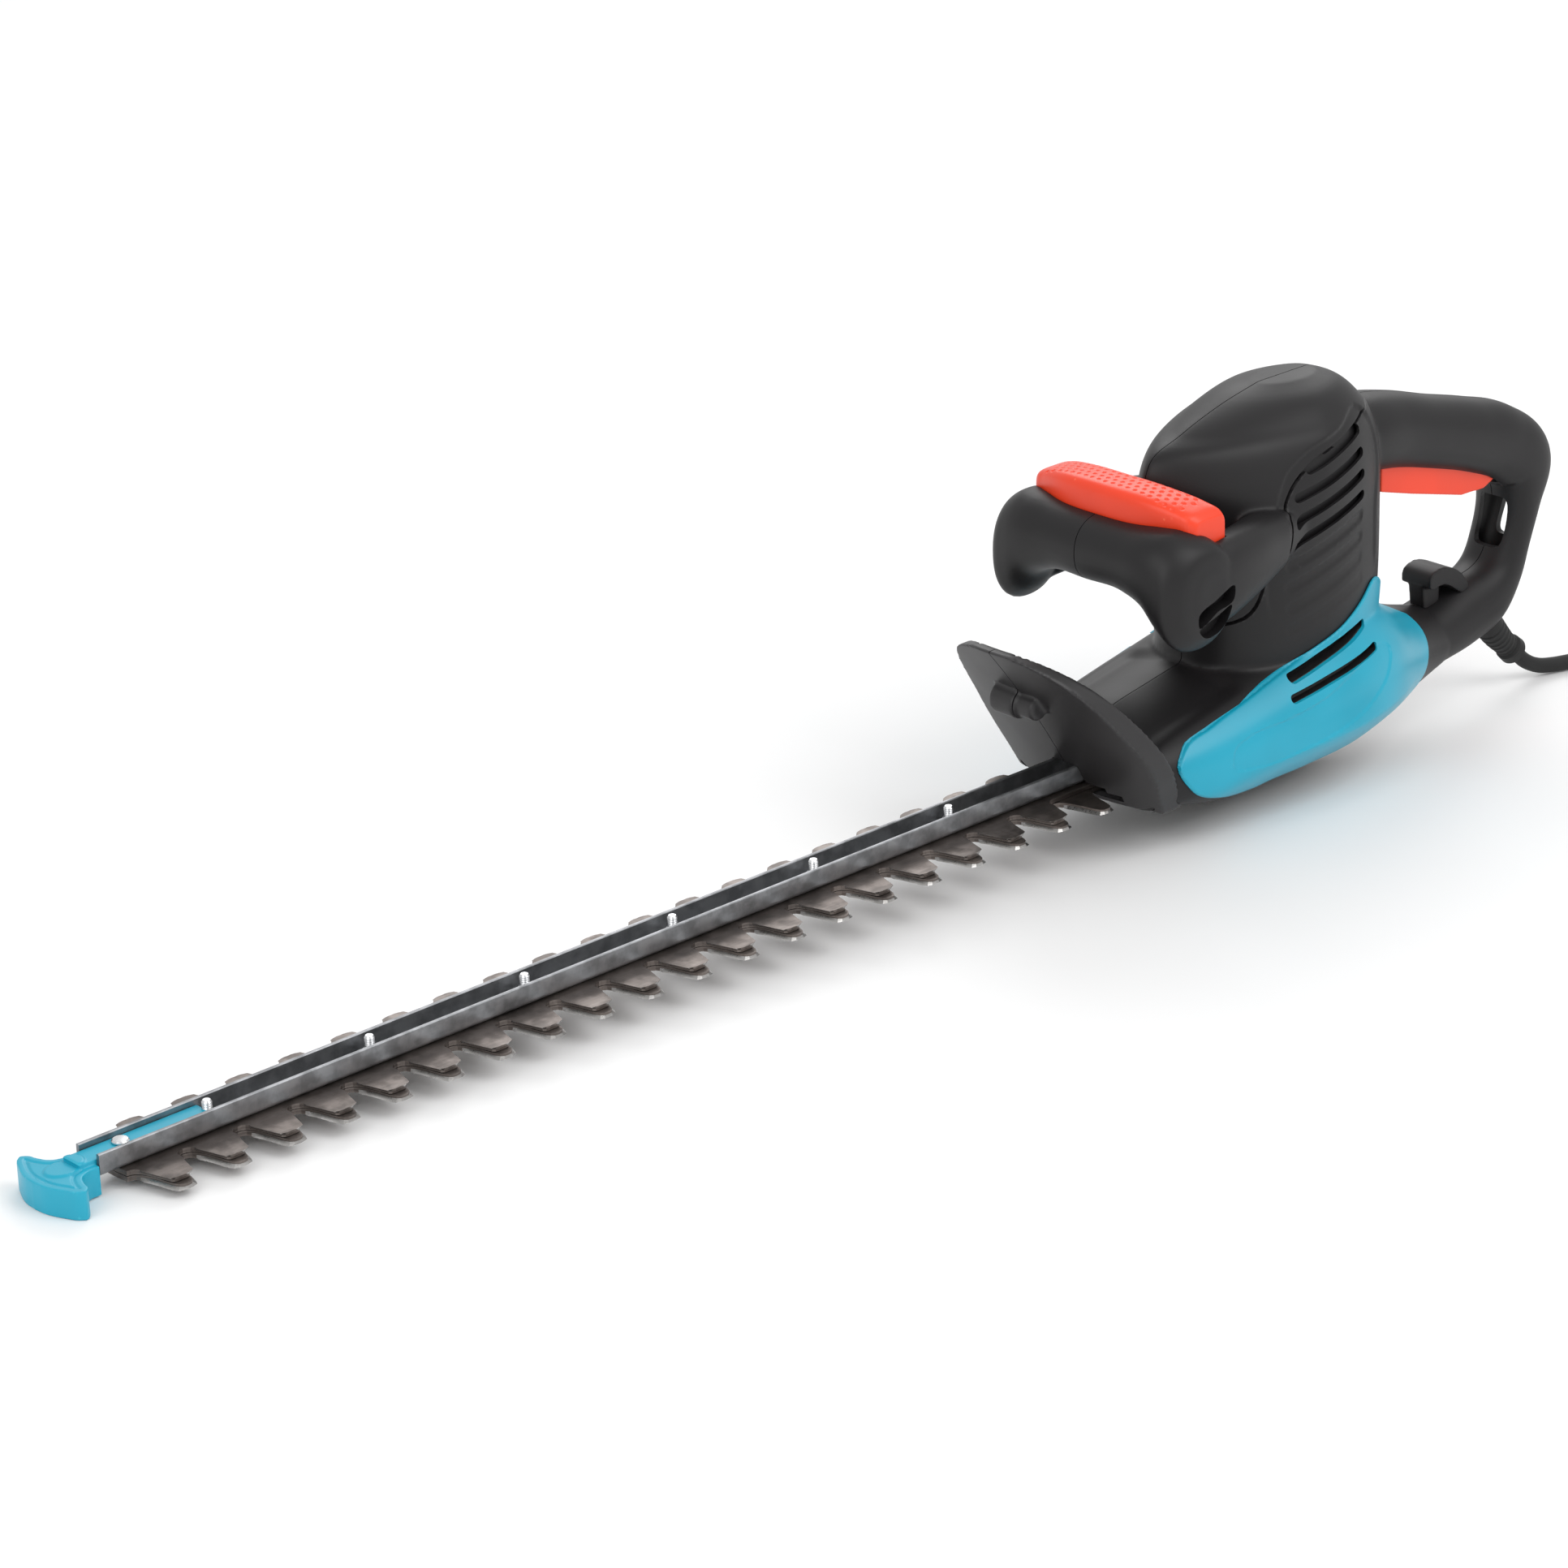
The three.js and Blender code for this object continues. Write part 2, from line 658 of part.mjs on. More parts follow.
add("capacitor", block(-654.5, -643.5, -11, 11, 60, 82), "brass");

// ---- controls -------------------------------------------------------------------------
// Front switch bar: sections across it, [|y|, x, bottom, top, half depth].
const SWITCH_BAR = [
  [0, -510.5, 108, 129.5, 11],
  [24, -512.5, 107, 128.2, 11],
  [38, -516.5, 105, 125, 10.5],
  [44, -518.5, 105, 122, 9],
  [46, -519.5, 107, 119, 6],
];

function switchBar(grow, drop) {
  const mirror = SWITCH_BAR.slice(1).map(([y, ...rest]) => [-y, ...rest]);
  const rows = [...mirror.reverse(), ...SWITCH_BAR];
  return loft(
    rows.map(([y, x, low, high, deep], i) => {
      const side = i ? (i === rows.length - 1 ? grow : 0) : -grow;
      const mid = (low + high) / 2;
      const up = high - mid + grow;
      const down = mid - low + grow + drop;
      return roundedRing(deep + grow, up, down, 3, 5, 16).map(
        ([u, v]) => new THREE.Vector3(x + u, y + side, mid + v),
      );
    }),
  );
}
add("front_switch_bar", switchBar(0, 0), "orange");
const frontPocket = switchBar(0.5, BAR_TRAVEL);

const FRONT_SWITCH = [-516, -503, -9, 9, 91, 101];
add("front_switch", block(...FRONT_SWITCH), "rubber");
const frontSwitchBay = block(-516.5, -502.5, -9.5, 9.5, 90.5, 110);

const SPRING_STEPS = 7; // in each turn
function spring(radius, wire, turns, low, high, x, y) {
  const steps = SPRING_STEPS * turns;
  const points = Array.from({ length: steps + 1 }, (_, i) => {
    const angle = (i / SPRING_STEPS) * 2 * Math.PI;
    const z = low + wire + ((high - low - 2 * wire) * i) / steps;
    return new THREE.Vector3(x + radius * Math.cos(angle), y + radius * Math.sin(angle), z);
  });
  const section = new THREE.Shape(
    [0, 1, 2, 3].map((i) => {
      const angle = (Math.PI * i) / 2;
      return new THREE.Vector2(wire * Math.cos(angle), wire * Math.sin(angle));
    }),
  );
  const path = new THREE.CatmullRomCurve3(points);
  return solid(new THREE.ExtrudeGeometry(section, { steps, extrudePath: path, bevelEnabled: false }));
}
const SPRING_Y = 24;
const springBays = [];
for (const [name, side] of SIDES) {
  add(`switch_bar_spring_${name}`, spring(2.6, 0.45, 4, 93, 106, -512, side * SPRING_Y), "zinc");
  springBays.push(rod(4, 92.7, 112, -512, side * SPRING_Y, 12));
}

// Rear trigger, seen from the side.
const TRIGGER = [
  [-668.5, 100],
  [-668.5, 84],
  [-723, 68.5],
  [-738, 68],
  [-749, 72.5],
  [-749, 77],
  [-738, 84],
  [-690, 100],
];
const TRIGGER_ROOM = [
  [-667.5, 104],
  [-667.5, 70],
  [-751, 60],
  [-752, 88],
  [-738, 93],
  [-690, 106],
];
add("rear_trigger", plateXZ(TRIGGER, -TRIGGER_HALF, TRIGGER_HALF), "orange");
const triggerRoom = plateXZ(TRIGGER_ROOM, -TRIGGER_HALF - 0.8, TRIGGER_HALF + 0.8);
add("rear_switch", block(-722, -700, -8, 8, 100, 107), "rubber");
add("trigger_spring", spring(2.6, 0.45, 5, 100.3, 120, -683, 0), "zinc");

// ---- casing ---------------------------------------------------------------------------
const outerBody = cut(bodyShape(0), belowFloor);
const outer = join(outerBody, towerShape(0));
const hollow = join(bodyShape(-WALL), towerShape(-WALL), loopShape(-WALL));
const MOUTH_HALF = 17.5; // takes the root of the last tooth at full stroke
const bladeMouth = block(-530, -470, -MOUTH_HALF, MOUTH_HALF, -PLATE - 2 * GAP, UPPER_Z + PLATE + GAP);
const toothRelief = block(-492, -470, 15, 25, -PLATE - 2 * GAP, GAP); // for the last near tooth's stroke
const railMouth = block(-530, -400, -RAIL_HALF - GAP, RAIL_HALF + GAP, -PLATE, RAIL_TOP + GAP);

const ARM_WINDOW = [-800, -740, -8, 8, 36, 59]; // through the handle's rear arm
const hoodZone = plateXZ(HOOD_ZONE, -90, 90);
const widerHoodZone = plateXZ(
  HOOD_ZONE.map(([x, z], i) => (i && i < HOOD_ZONE.length - 2 ? [x - GAP, z - GAP] : [x, z])),
  -91,
  91,
);
const slots = (list, high, y0, y1) =>
  list.flatMap(([from, to]) => SIDES.map(([, side]) => wallSlot(side, from, to, high, y0, y1)));
const towerSlots = slots(TOWER_SLOTS, TOWER_SLOT_HIGH, 20, 60);
const coverSlots = slots(COVER_SLOTS, COVER_SLOT_HIGH, 25, 70);

const shell = cut(join(outer, loopShape(0)), hollow, bladeMouth, railMouth, triggerRoom, block(...ARM_WINDOW));
const cordEye = new THREE.CylinderGeometry(4.2, 4.2, 40, 12).rotateX(Math.PI / 2);
const sleeveWay = solid(cordEye.rotateY(0.9).translate(-757, 0, -5));
const casing = cut(shell, widerHoodZone, ...towerSlots, ...coverSlots, sleeveWay);
for (const [name, side] of SIDES) add(`${name}_housing`, half(casing, side), "housing");

const grip = cut(
  join(gripShape(), shoulder(1), shoulder(-1)),
  bodyShape(-WALL),
  towerShape(-WALL),
  frontPocket,
  frontSwitchBay,
  ...springBays,
);
const hood = join(cut(shell, frontPocket), grip).intersect(hoodZone);
for (const [name, side] of SIDES) add(`${name}_hood`, half(hood, side), "housing");

const coverBand = cut(
  join(cut(bodyShape(2.2), belowFloor), towerShape(2.2)),
  join(bodyShape(GAP), towerShape(GAP)),
  ...coverSlots,
);
for (const [name, side] of SIDES) {
  const zone = plateXZ(COVER, side > 0 ? 14 : -90, side > 0 ? 90 : -14);
  add(`${name}_side_cover`, coverBand.intersect(zone), "teal");
}

// ---- hand guard -----------------------------------------------------------------------
// Hand guard: level sections, [z, half width, depth of the rim].
const GUARD = [
  [-5, 42, 12],
  [4, 44, 12],
  [14, 46.5, 12],
  [25, 46.5, 12],
  [37, 43.5, 12],
  [48, 40, 11],
  [58, 35, 10],
  [65, 29, 8.5],
  [70, 21.5, 7],
  [73.5, 11, 5.5],
];
const guardFront = (y, z) => -474 + 0.62 * (z - 20) + 0.002 * (z - 20) ** 2 - (y * y) / 290;

function guardShape(inset, start, deeper) {
  const steps = [-1, -0.66, -0.33, 0, 0.33, 0.66, 1];
  return loft(
    GUARD.map(([z, w, deep], i) => {
      const end = i ? (i === GUARD.length - 1 ? -inset : 0) : inset;
      const wide = Math.max(w - inset, 1);
      const face = (back) =>
        steps.map((t) => new THREE.Vector3(guardFront(t * wide, z) - back, t * wide, z + end));
      return [...face(start), ...face(deep + deeper).reverse()];
    }),
  );
}
const lug = join(
  crossRod(6.8, -455, 45, -14, 0.5),
  crossRod(5.2, -455, 45, 0, 10),
);
const guard = cut(
  join(cut(guardShape(0, 0, 0), guardShape(WALL, 3, 1)), cut(lug, guardShape(0, 1, 30))),
  bodyShape(GAP),
  bladeMouth,
  toothRelief,
  railMouth,
);
for (const [name, side] of SIDES) add(`${name}_guard`, half(guard, side), "guard");

// ---- rear fittings --------------------------------------------------------------------
const hookStem = plateXZ([[-712, 16], [-705, 15.5], [-702, 30], [-713, 30]], -5, 5);
const hookLine = [[-703, 30], [-704, 36], [-713, 37], [-728, 26], [-727, 20], [-714, 27]];
const hookHead = plateXZ(hookLine, -8.5, 8.5);
add("cable_hook", cut(join(hookStem, hookHead), loopShape(GAP), bodyShape(GAP)), "rubber");

// Strain relief: stations along its curve, [x, z, radius].
const RELIEF = [
  [-748, 4, 6.6],
  [-755, -5.5, 6.8],
  [-762, -13, 6],
  [-768, -18.5, 5.2],
];
const RELIEF_END = [-771, -21];

function tubeAlong(stations, shrink, sides) {
  return loft(
    stations.map(([x, z, r], i) => {
      const [ax, az] = stations[Math.max(i - 1, 0)];
      const [bx, bz] = stations[Math.min(i + 1, stations.length - 1)];
      const along = new THREE.Vector2(bx - ax, bz - az).normalize();
      return roundedRing(r - shrink, r - shrink, r - shrink, 2, 2, sides).map(
        ([y, v]) => new THREE.Vector3(x - along.y * v, y, z + along.x * v),
      );
    }),
  );
}
const lip = [[-767, -17.5, 6.6], [...RELIEF_END, 6.6]];
add("cord_sleeve", cut(join(tubeAlong(RELIEF, 0, 12), tubeAlong(lip, 0, 12)), loopShape(GAP)), "rubber");

// ---- supply cord ----------------------------------------------------------------------
// The cord lies in the floor's frame, where z = 0 is the floor.
const CORD = [
  [-404.9, 0, 15.6],
  [-409.7, 0.2, 10.9],
  [-415.2, 0.6, 7.4],
  [-421.7, 1.3, 4.9],
  [-429.7, 2.7, 3.8],
  [-439.7, 5.4, 3.7],
  [-451.7, 10.5, 3.7],
  [-462.7, 18, 3.7],
  [-471.2, 26.12, 3.7],
  [-476.7, 37.05, 3.7],
  [-478.7, 48.92, 3.7],
  [-476.7, 60.8, 3.7],
  [-471.2, 71.72, 3.7],
  [-462.7, 80.75, 3.7],
  [-451.7, 87.97, 3.7],
  [-438.7, 94.05, 3.7],
  [-423.7, 101.2, 3.7],
  [-407.7, 109.2, 3.7],
  [-391.7, 117.6, 3.7],
  [-375.7, 126, 4.4],
  [-360.3, 133.9, 7.5],
];
const cordPath = new THREE.CatmullRomCurve3(CORD.map((p) => new THREE.Vector3(...p)));
const cordSection = new THREE.Shape(
  Array.from({ length: 8 }, (_, i) => {
    const angle = (Math.PI * (i + 0.5)) / 4;
    return new THREE.Vector2(CORD_R * Math.cos(angle), CORD_R * Math.sin(angle));
  }),
);
const cordTube = new THREE.ExtrudeGeometry(cordSection, {
  steps: 24,
  extrudePath: cordPath,
  bevelEnabled: false,
});
add("mains_cord", solid(cordTube), "rubber", object);

// Plug: two pins, on the cord's end and lying flat.
const plug = new THREE.Group();
plug.position.set(...CORD.at(-1));
plug.rotation.z = Math.atan2(CORD.at(-1)[1] - CORD.at(-2)[1], CORD.at(-1)[0] - CORD.at(-2)[0]);
object.add(plug);
const PLUG_LOW = 0.4 - CORD.at(-1)[2];
const plugBody = loft(
  [[1, 4.5, 5], [10, 5.5, 6], [16, 11, 7], [30, 17.5, 7.2], [38, 17.5, 7.2]].map(([x, w, high]) =>
    roundedRing(w, high, Math.min(high, -PLUG_LOW), 3, 3, 16).map(([y, z]) => new THREE.Vector3(x, y, z)),
  ),
);
add("mains_plug", plugBody, "rubber", plug);
for (const [name, side] of SIDES) {
  const pin = new THREE.CylinderGeometry(2, 2, 19, 10).rotateZ(Math.PI / 2);
  add(`plug_pin_${name}`, solid(pin.translate(38 + GAP + 9.5, side * 9.5, 0)), "brass", plug);
}

export default object;
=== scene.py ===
# Hedge trimmer: moulded casing over an upright motor, toothed blades on a channel rail, and a
# leaf-shaped hand guard. Shapes are worked out in the tool's own frame, in millimetres: x = 0 at the
# foremost tooth and +X towards the tip, +Y the user's left, z = 0 on top of the lower blade. TOOL sets
# them down in the frame's metres.
import math

import bpy
import numpy as np
from mathutils import Matrix, Vector


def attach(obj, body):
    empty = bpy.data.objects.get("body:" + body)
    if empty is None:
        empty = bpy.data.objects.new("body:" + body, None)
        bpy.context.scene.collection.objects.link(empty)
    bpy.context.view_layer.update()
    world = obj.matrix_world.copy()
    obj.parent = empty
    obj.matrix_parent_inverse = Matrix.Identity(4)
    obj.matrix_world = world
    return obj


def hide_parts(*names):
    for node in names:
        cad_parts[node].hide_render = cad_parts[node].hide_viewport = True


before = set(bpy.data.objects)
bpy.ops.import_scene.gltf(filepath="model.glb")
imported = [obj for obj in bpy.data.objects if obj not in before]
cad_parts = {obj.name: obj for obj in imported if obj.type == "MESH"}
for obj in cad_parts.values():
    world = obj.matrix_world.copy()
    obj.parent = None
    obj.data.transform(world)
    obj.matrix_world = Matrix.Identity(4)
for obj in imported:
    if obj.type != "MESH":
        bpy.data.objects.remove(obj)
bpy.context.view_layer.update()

MM = 0.001
REST_PITCH = math.radians(2.35)  # nose-down lie on a flat floor
SHIFT_X = 367.7
LIFT_Z = 5.4
TOOL = (
    Matrix.Scale(MM, 4)
    @ Matrix.Translation((SHIFT_X, 0, LIFT_Z))
    @ Matrix.Rotation(REST_PITCH, 4, "Y")
)
FLOOR = Matrix.Scale(MM, 4)
SIDES = (("left", 1), ("right", -1))

# ---- camera ----------------------------------------------------------------------------
camera_data = bpy.data.cameras.new("view")
camera_data.lens = 119.25
camera_data.sensor_width = 36
camera_data.clip_end = 50
camera = bpy.data.objects.new("view", camera_data)
camera.location = (1.35887, 1.41767, 0.80286)
camera.rotation_euler = [math.radians(a) for a in (69.1603, 0.0496, 137.2563)]
bpy.context.scene.collection.objects.link(camera)
bpy.context.scene.camera = camera
bpy.context.scene.view_settings.view_transform = "Standard"


# ---- curves and skins ------------------------------------------------------------------
def through(points, count, closed=False, ruler=None):
    """count rows on a smooth curve through rows of numbers. ruler picks columns that hold distance."""
    rows = np.array(points, float)
    if closed:
        rows = np.vstack([rows[-2:], rows, rows[:3]])
    measured = rows if ruler is None else rows[:, ruler]
    steps = np.linalg.norm(np.diff(measured, axis=0), axis=1)
    run = np.r_[0, np.cumsum(steps)]
    rise = np.diff(rows, axis=0) / steps[:, None]
    slope = np.empty_like(rows)
    slope[0], slope[-1] = rise[0], rise[-1]
    before, after = steps[:-1, None], steps[1:, None]
    slope[1:-1] = (rise[:-1] * after + rise[1:] * before) / (before + after)
    start, end = (run[2], run[-3]) if closed else (run[0], run[-1])
    at = np.linspace(start, end, count, endpoint=not closed)
    k = np.clip(np.searchsorted(run, at, side="right") - 1, 0, len(steps) - 1)
    t = ((at - run[k]) / steps[k])[:, None]
    h = steps[k][:, None]
    return (
        (2 * t**3 - 3 * t**2 + 1) * rows[k]
        + (t**3 - 2 * t**2 + t) * h * slope[k]
        + (3 * t**2 - 2 * t**3) * rows[k + 1]
        + (t**3 - t**2) * h * slope[k + 1]
    )


def rounded_ring(half, up, down, upper, lower, count):
    """A ring of (u, v). upper and lower are its squareness above and below v = 0."""
    angle = 2 * np.pi * (np.arange(count) + 0.5) / count
    c, s = np.cos(angle), np.sin(angle)
    power = 2 / np.where(s > 0, upper, lower)
    u = half * np.sign(c) * np.abs(c) ** power
    v = np.where(s > 0, up, down) * np.sign(s) * np.abs(s) ** power
    return np.c_[u, v]


def outward(verts, faces):
    """The skin with its faces turned so that it holds a positive volume."""
    volume = 0.0
    for face in faces:
        for j in range(1, len(face) - 1):
            volume += np.dot(verts[face[0]], np.cross(verts[face[j]], verts[face[j + 1]]))
    return (verts, faces) if volume > 0 else (verts, [face[::-1] for face in faces])


def lofted(rings):
    """A closed skin over rings of equal length, with a fan on each end."""
    rings = np.asarray(rings, float)
    stations, count = rings.shape[:2]
    verts = np.vstack([rings.reshape(-1, 3), rings[0].mean(0), rings[-1].mean(0)])
    first, last = stations * count, stations * count + 1
    base = (stations - 1) * count
    faces = []
    for j in range(count):
        k = (j + 1) % count
        for i in range(0, base, count):
            faces.append([i + j, i + k, i + count + k, i + count + j])
        faces.append([first, k, j])
        faces.append([last, base + j, base + k])
    return outward(verts, faces)


def prism(outline, low, high, across="y"):
    """A flat plate between two levels of one axis. Its outline is in the other two, in X, Y, Z order."""
    outline = np.asarray(outline, float)
    n = len(outline)
    ends = [np.insert(outline, "xyz".index(across), float(level), axis=1) for level in (low, high)]
    faces = [list(range(n))[::-1], list(range(n, 2 * n))]
    faces += [[j, (j + 1) % n, n + (j + 1) % n, n + j] for j in range(n)]
    return outward(np.vstack(ends), faces)


def block(x0, x1, y0, y1, z0, z1):
    return prism([(x0, z0), (x1, z0), (x1, z1), (x0, z1)], y0, y1)


def lathe(profile, x=0.0, y=0.0, sides=48):
    """A body of revolution about an upright axis. Its (radius, z) pairs start and end on the axis."""
    rings = []
    angle = 2 * np.pi * np.arange(sides) / sides
    for radius, z in profile[1:-1]:
        rings.append(np.c_[x + radius * np.cos(angle), y + radius * np.sin(angle), np.full(sides, z)])
    return lofted(rings)


def tube(stations, count=32):
    """A tapered tube along stations of (x, z, radius)."""
    rows = np.asarray(stations, float)
    along = np.gradient(rows[:, :2], axis=0)
    along /= np.linalg.norm(along, axis=1)[:, None]
    rings = []
    for (x, z, radius), (ax, az) in zip(rows, along):
        ring = rounded_ring(radius, radius, radius, 2, 2, count)
        rings.append(np.c_[x - az * ring[:, 1], ring[:, 0], z + ax * ring[:, 1]])
    return lofted(rings)


def together(*skins):
    verts, faces, offset = [], [], 0
    for v, f in skins:
        verts.append(v)
        faces += [[i + offset for i in face] for face in f]
        offset += len(v)
    return np.vstack(verts), faces


# ---- solids ----------------------------------------------------------------------------
def solid(skin, name="workpiece"):
    mesh = bpy.data.meshes.new(name)
    mesh.from_pydata(skin[0].tolist(), [], skin[1])
    thing = bpy.data.objects.new(name, mesh)
    bpy.context.scene.collection.objects.link(thing)
    return thing


def settled(thing):
    """thing with its modifiers worked into its mesh."""
    bpy.context.view_layer.update()
    shaped = thing.evaluated_get(bpy.context.evaluated_depsgraph_get())
    old = thing.data
    thing.data = bpy.data.meshes.new_from_object(shaped)
    thing.modifiers.clear()
    bpy.data.meshes.remove(old)
    return thing


def fused(skins, voxel, rounds):
    """Overlapping skins as one moulded solid, its inner corners filled and its outer edges eased."""
    thing = solid(together(*skins))
    melt = thing.modifiers.new("melt", "REMESH")
    melt.mode = "VOXEL"
    melt.voxel_size = voxel
    ease = thing.modifiers.new("ease", "SMOOTH")
    ease.factor = 0.5
    ease.iterations = rounds
    return settled(thing)


def combined(thing, tool, operation):
    """thing after a boolean with tool, which is used up."""
    modifier = thing.modifiers.new("combine", "BOOLEAN")
    modifier.operation = operation
    modifier.solver = "MANIFOLD"
    modifier.object = tool
    settled(thing)
    bpy.data.objects.remove(tool)
    return thing


def cut(thing, *skins):
    return combined(thing, solid(together(*skins)), "DIFFERENCE") if skins else thing


def kept_inside(thing, skin):
    return combined(thing, solid(skin), "INTERSECT")


def copy_of(thing):
    twin = thing.copy()
    twin.data = thing.data.copy()
    bpy.context.scene.collection.objects.link(twin)
    return twin


def points_of(thing):
    co = np.empty(len(thing.data.vertices) * 3, np.float32)
    thing.data.vertices.foreach_get("co", co)
    return co.reshape(-1, 3).astype(float)


def normals_of(thing):
    normals = np.empty(len(thing.data.vertices) * 3, np.float32)
    thing.data.vertices.foreach_get("normal", normals)
    return normals.reshape(-1, 3).astype(float)


def sunk(thing, depth):
    """thing with each vertex moved inwards by its depth."""
    moved = points_of(thing) - normals_of(thing) * depth[:, None]
    thing.data.vertices.foreach_set("co", moved.ravel())
    thing.data.update()
    return thing


def fade(value, start, end):
    t = np.clip((value - start) / (end - start), 0, 1)
    return t * t * (3 - 2 * t)


def depth_inside(points, outline):
    """Distance of (u, v) points from a closed outline, positive inside."""
    outline = np.asarray(outline, float)
    ahead = np.roll(outline, -1, axis=0)
    nearest = np.full(len(points), 1e9)
    inside = np.zeros(len(points), bool)
    for (ax, ay), (bx, by) in zip(outline, ahead):
        ex, ey = bx - ax, by - ay
        px, py = points[:, 0] - ax, points[:, 1] - ay
        t = np.clip((px * ex + py * ey) / (ex * ex + ey * ey), 0, 1)
        nearest = np.minimum(nearest, np.hypot(px - t * ex, py - t * ey))
        if ay != by:
            crosses = (ay > points[:, 1]) != (by > points[:, 1])
            inside ^= crosses & (px < ex * py / ey)
    return np.where(inside, nearest, -nearest)


def piece(thing, name, body, finish, nodes=(), place=TOOL, sharp=32):
    """thing as a finished piece: placed, riding on its body, with its finish, standing for its nodes."""
    thing.name = name
    thing.data.name = name
    thing.data.transform(place)
    thing.data.shade_smooth()
    thing.data.set_sharp_from_angle(angle=math.radians(sharp))
    thing.data.materials.clear()
    thing.data.materials.append(finish)
    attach(thing, body)
    if nodes:
        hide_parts(*nodes)
    return thing


# ---- finishes --------------------------------------------------------------------------
def new_group(name, inputs, outputs):
    """A shader node group with plain float inputs and float outputs."""
    group = bpy.data.node_groups.new(name, "ShaderNodeTree")
    for label, value in inputs.items():
        socket = group.interface.new_socket(name=label, in_out="INPUT", socket_type="NodeSocketFloat")
        socket.default_value = value
    for label in outputs:
        group.interface.new_socket(name=label, in_out="OUTPUT", socket_type="NodeSocketFloat")
    return group, group.nodes.new("NodeGroupInput"), group.nodes.new("NodeGroupOutput")


def noise(tree, scale, detail=2.0, stretch=None):
    """Noise in the object's own metres, stretched along an axis where asked."""
    place = tree.nodes.new("ShaderNodeTexCoord").outputs["Object"]
    if stretch:
        mapping = tree.nodes.new("ShaderNodeMapping")
        mapping.inputs["Scale"].default_value = stretch
        tree.links.new(place, mapping.inputs["Vector"])
        place = mapping.outputs["Vector"]
    made = tree.nodes.new("ShaderNodeTexNoise")
    made.inputs["Detail"].default_value = detail
    made.inputs["Scale"].default_value = scale
    tree.links.new(place, made.inputs["Vector"])
    return made


def ramp(tree, source, low, high, bottom=0.0, top=1.0):
    """source remapped from low..high to bottom..top and clamped."""
    made = tree.nodes.new("ShaderNodeMapRange")
    for label, value in (("From Min", low), ("From Max", high), ("To Min", bottom), ("To Max", top)):
        made.inputs[label].default_value = value
    tree.links.new(source, made.inputs["Value"])
    return made.outputs["Result"]


def arithmetic(tree, operation, a, b):
    made = tree.nodes.new("ShaderNodeMath")
    made.operation = operation
    for socket, value in zip(made.inputs, (a, b)):
        if isinstance(value, (int, float)):
            socket.default_value = value
        else:
            tree.links.new(value, socket)
    return made.outputs["Value"]


# Fine spark-eroded grain of a moulding: a height for the bump and a slow drift of the gloss.
GRAIN, grain_in, grain_out = new_group("moulded_grain", {"Grain Scale": 2600.0}, ["Height", "Drift"])
fine = noise(GRAIN, 1.0, 3.0)
GRAIN.links.new(grain_in.outputs["Grain Scale"], fine.inputs["Scale"])
GRAIN.links.new(fine.outputs["Fac"], grain_out.inputs["Height"])
GRAIN.links.new(ramp(GRAIN, noise(GRAIN, 22.0).outputs["Fac"], 0.35, 0.65), grain_out.inputs["Drift"])

# Edges and corners rubbed by handling, broken up by noise.
WEAR, wear_in, wear_out = new_group("edge_wear", {"Start": 0.52, "Full": 0.62}, ["Rubbed"])
edges = WEAR.nodes.new("ShaderNodeMapRange")
WEAR.links.new(WEAR.nodes.new("ShaderNodeNewGeometry").outputs["Pointiness"], edges.inputs["Value"])
WEAR.links.new(wear_in.outputs["Start"], edges.inputs["From Min"])
WEAR.links.new(wear_in.outputs["Full"], edges.inputs["From Max"])
patchy = ramp(WEAR, noise(WEAR, 140.0, 4.0).outputs["Fac"], 0.4, 0.6, 0.15)
WEAR.links.new(arithmetic(WEAR, "MULTIPLY", edges.outputs["Result"], patchy), wear_out.inputs["Rubbed"])

# Drawn or ground lines along X, as a height and a tone.
DRAWN, drawn_in, drawn_out = new_group("drawn_lines", {"Line Scale": 900.0}, ["Height", "Tone"])
lines = noise(DRAWN, 1.0, 3.0, (0.03, 1.0, 1.0))
DRAWN.links.new(drawn_in.outputs["Line Scale"], lines.inputs["Scale"])
DRAWN.links.new(lines.outputs["Fac"], drawn_out.inputs["Height"])
blotch = ramp(DRAWN, noise(DRAWN, 45.0, 3.0).outputs["Fac"], 0.3, 0.7)
DRAWN.links.new(blotch, drawn_out.inputs["Tone"])


def placed_group(tree, group, **values):
    made = tree.nodes.new("ShaderNodeGroup")
    made.node_tree = group
    for key, value in values.items():
        made.inputs[key.replace("_", " ").title()].default_value = value
    return made


def mixed(tree, mask, first, second):
    """Two colours blended by a mask."""
    made = tree.nodes.new("ShaderNodeMix")
    made.data_type = "RGBA"
    for socket, value in ((made.inputs[6], first), (made.inputs[7], second)):
        if isinstance(value, tuple):
            socket.default_value = (*value, 1)
        else:
            tree.links.new(value, socket)
    tree.links.new(mask, made.inputs[0])
    return made.outputs[2]


def bumped(tree, height, depth, strength=1.0):
    made = tree.nodes.new("ShaderNodeBump")
    made.inputs["Distance"].default_value = depth
    made.inputs["Strength"].default_value = strength
    tree.links.new(height, made.inputs["Height"])
    return made.outputs["Normal"]


def fresh(name, **sockets):
    """A new material's tree and its Principled shader, with the shader's own even values."""
    material = bpy.data.materials.new(name)
    material.use_nodes = True
    shader = material.node_tree.nodes["Principled BSDF"]
    for key, value in sockets.items():
        shader.inputs[key.replace("_", " ").title().replace("Ior", "IOR")].default_value = value
    return material, material.node_tree, shader


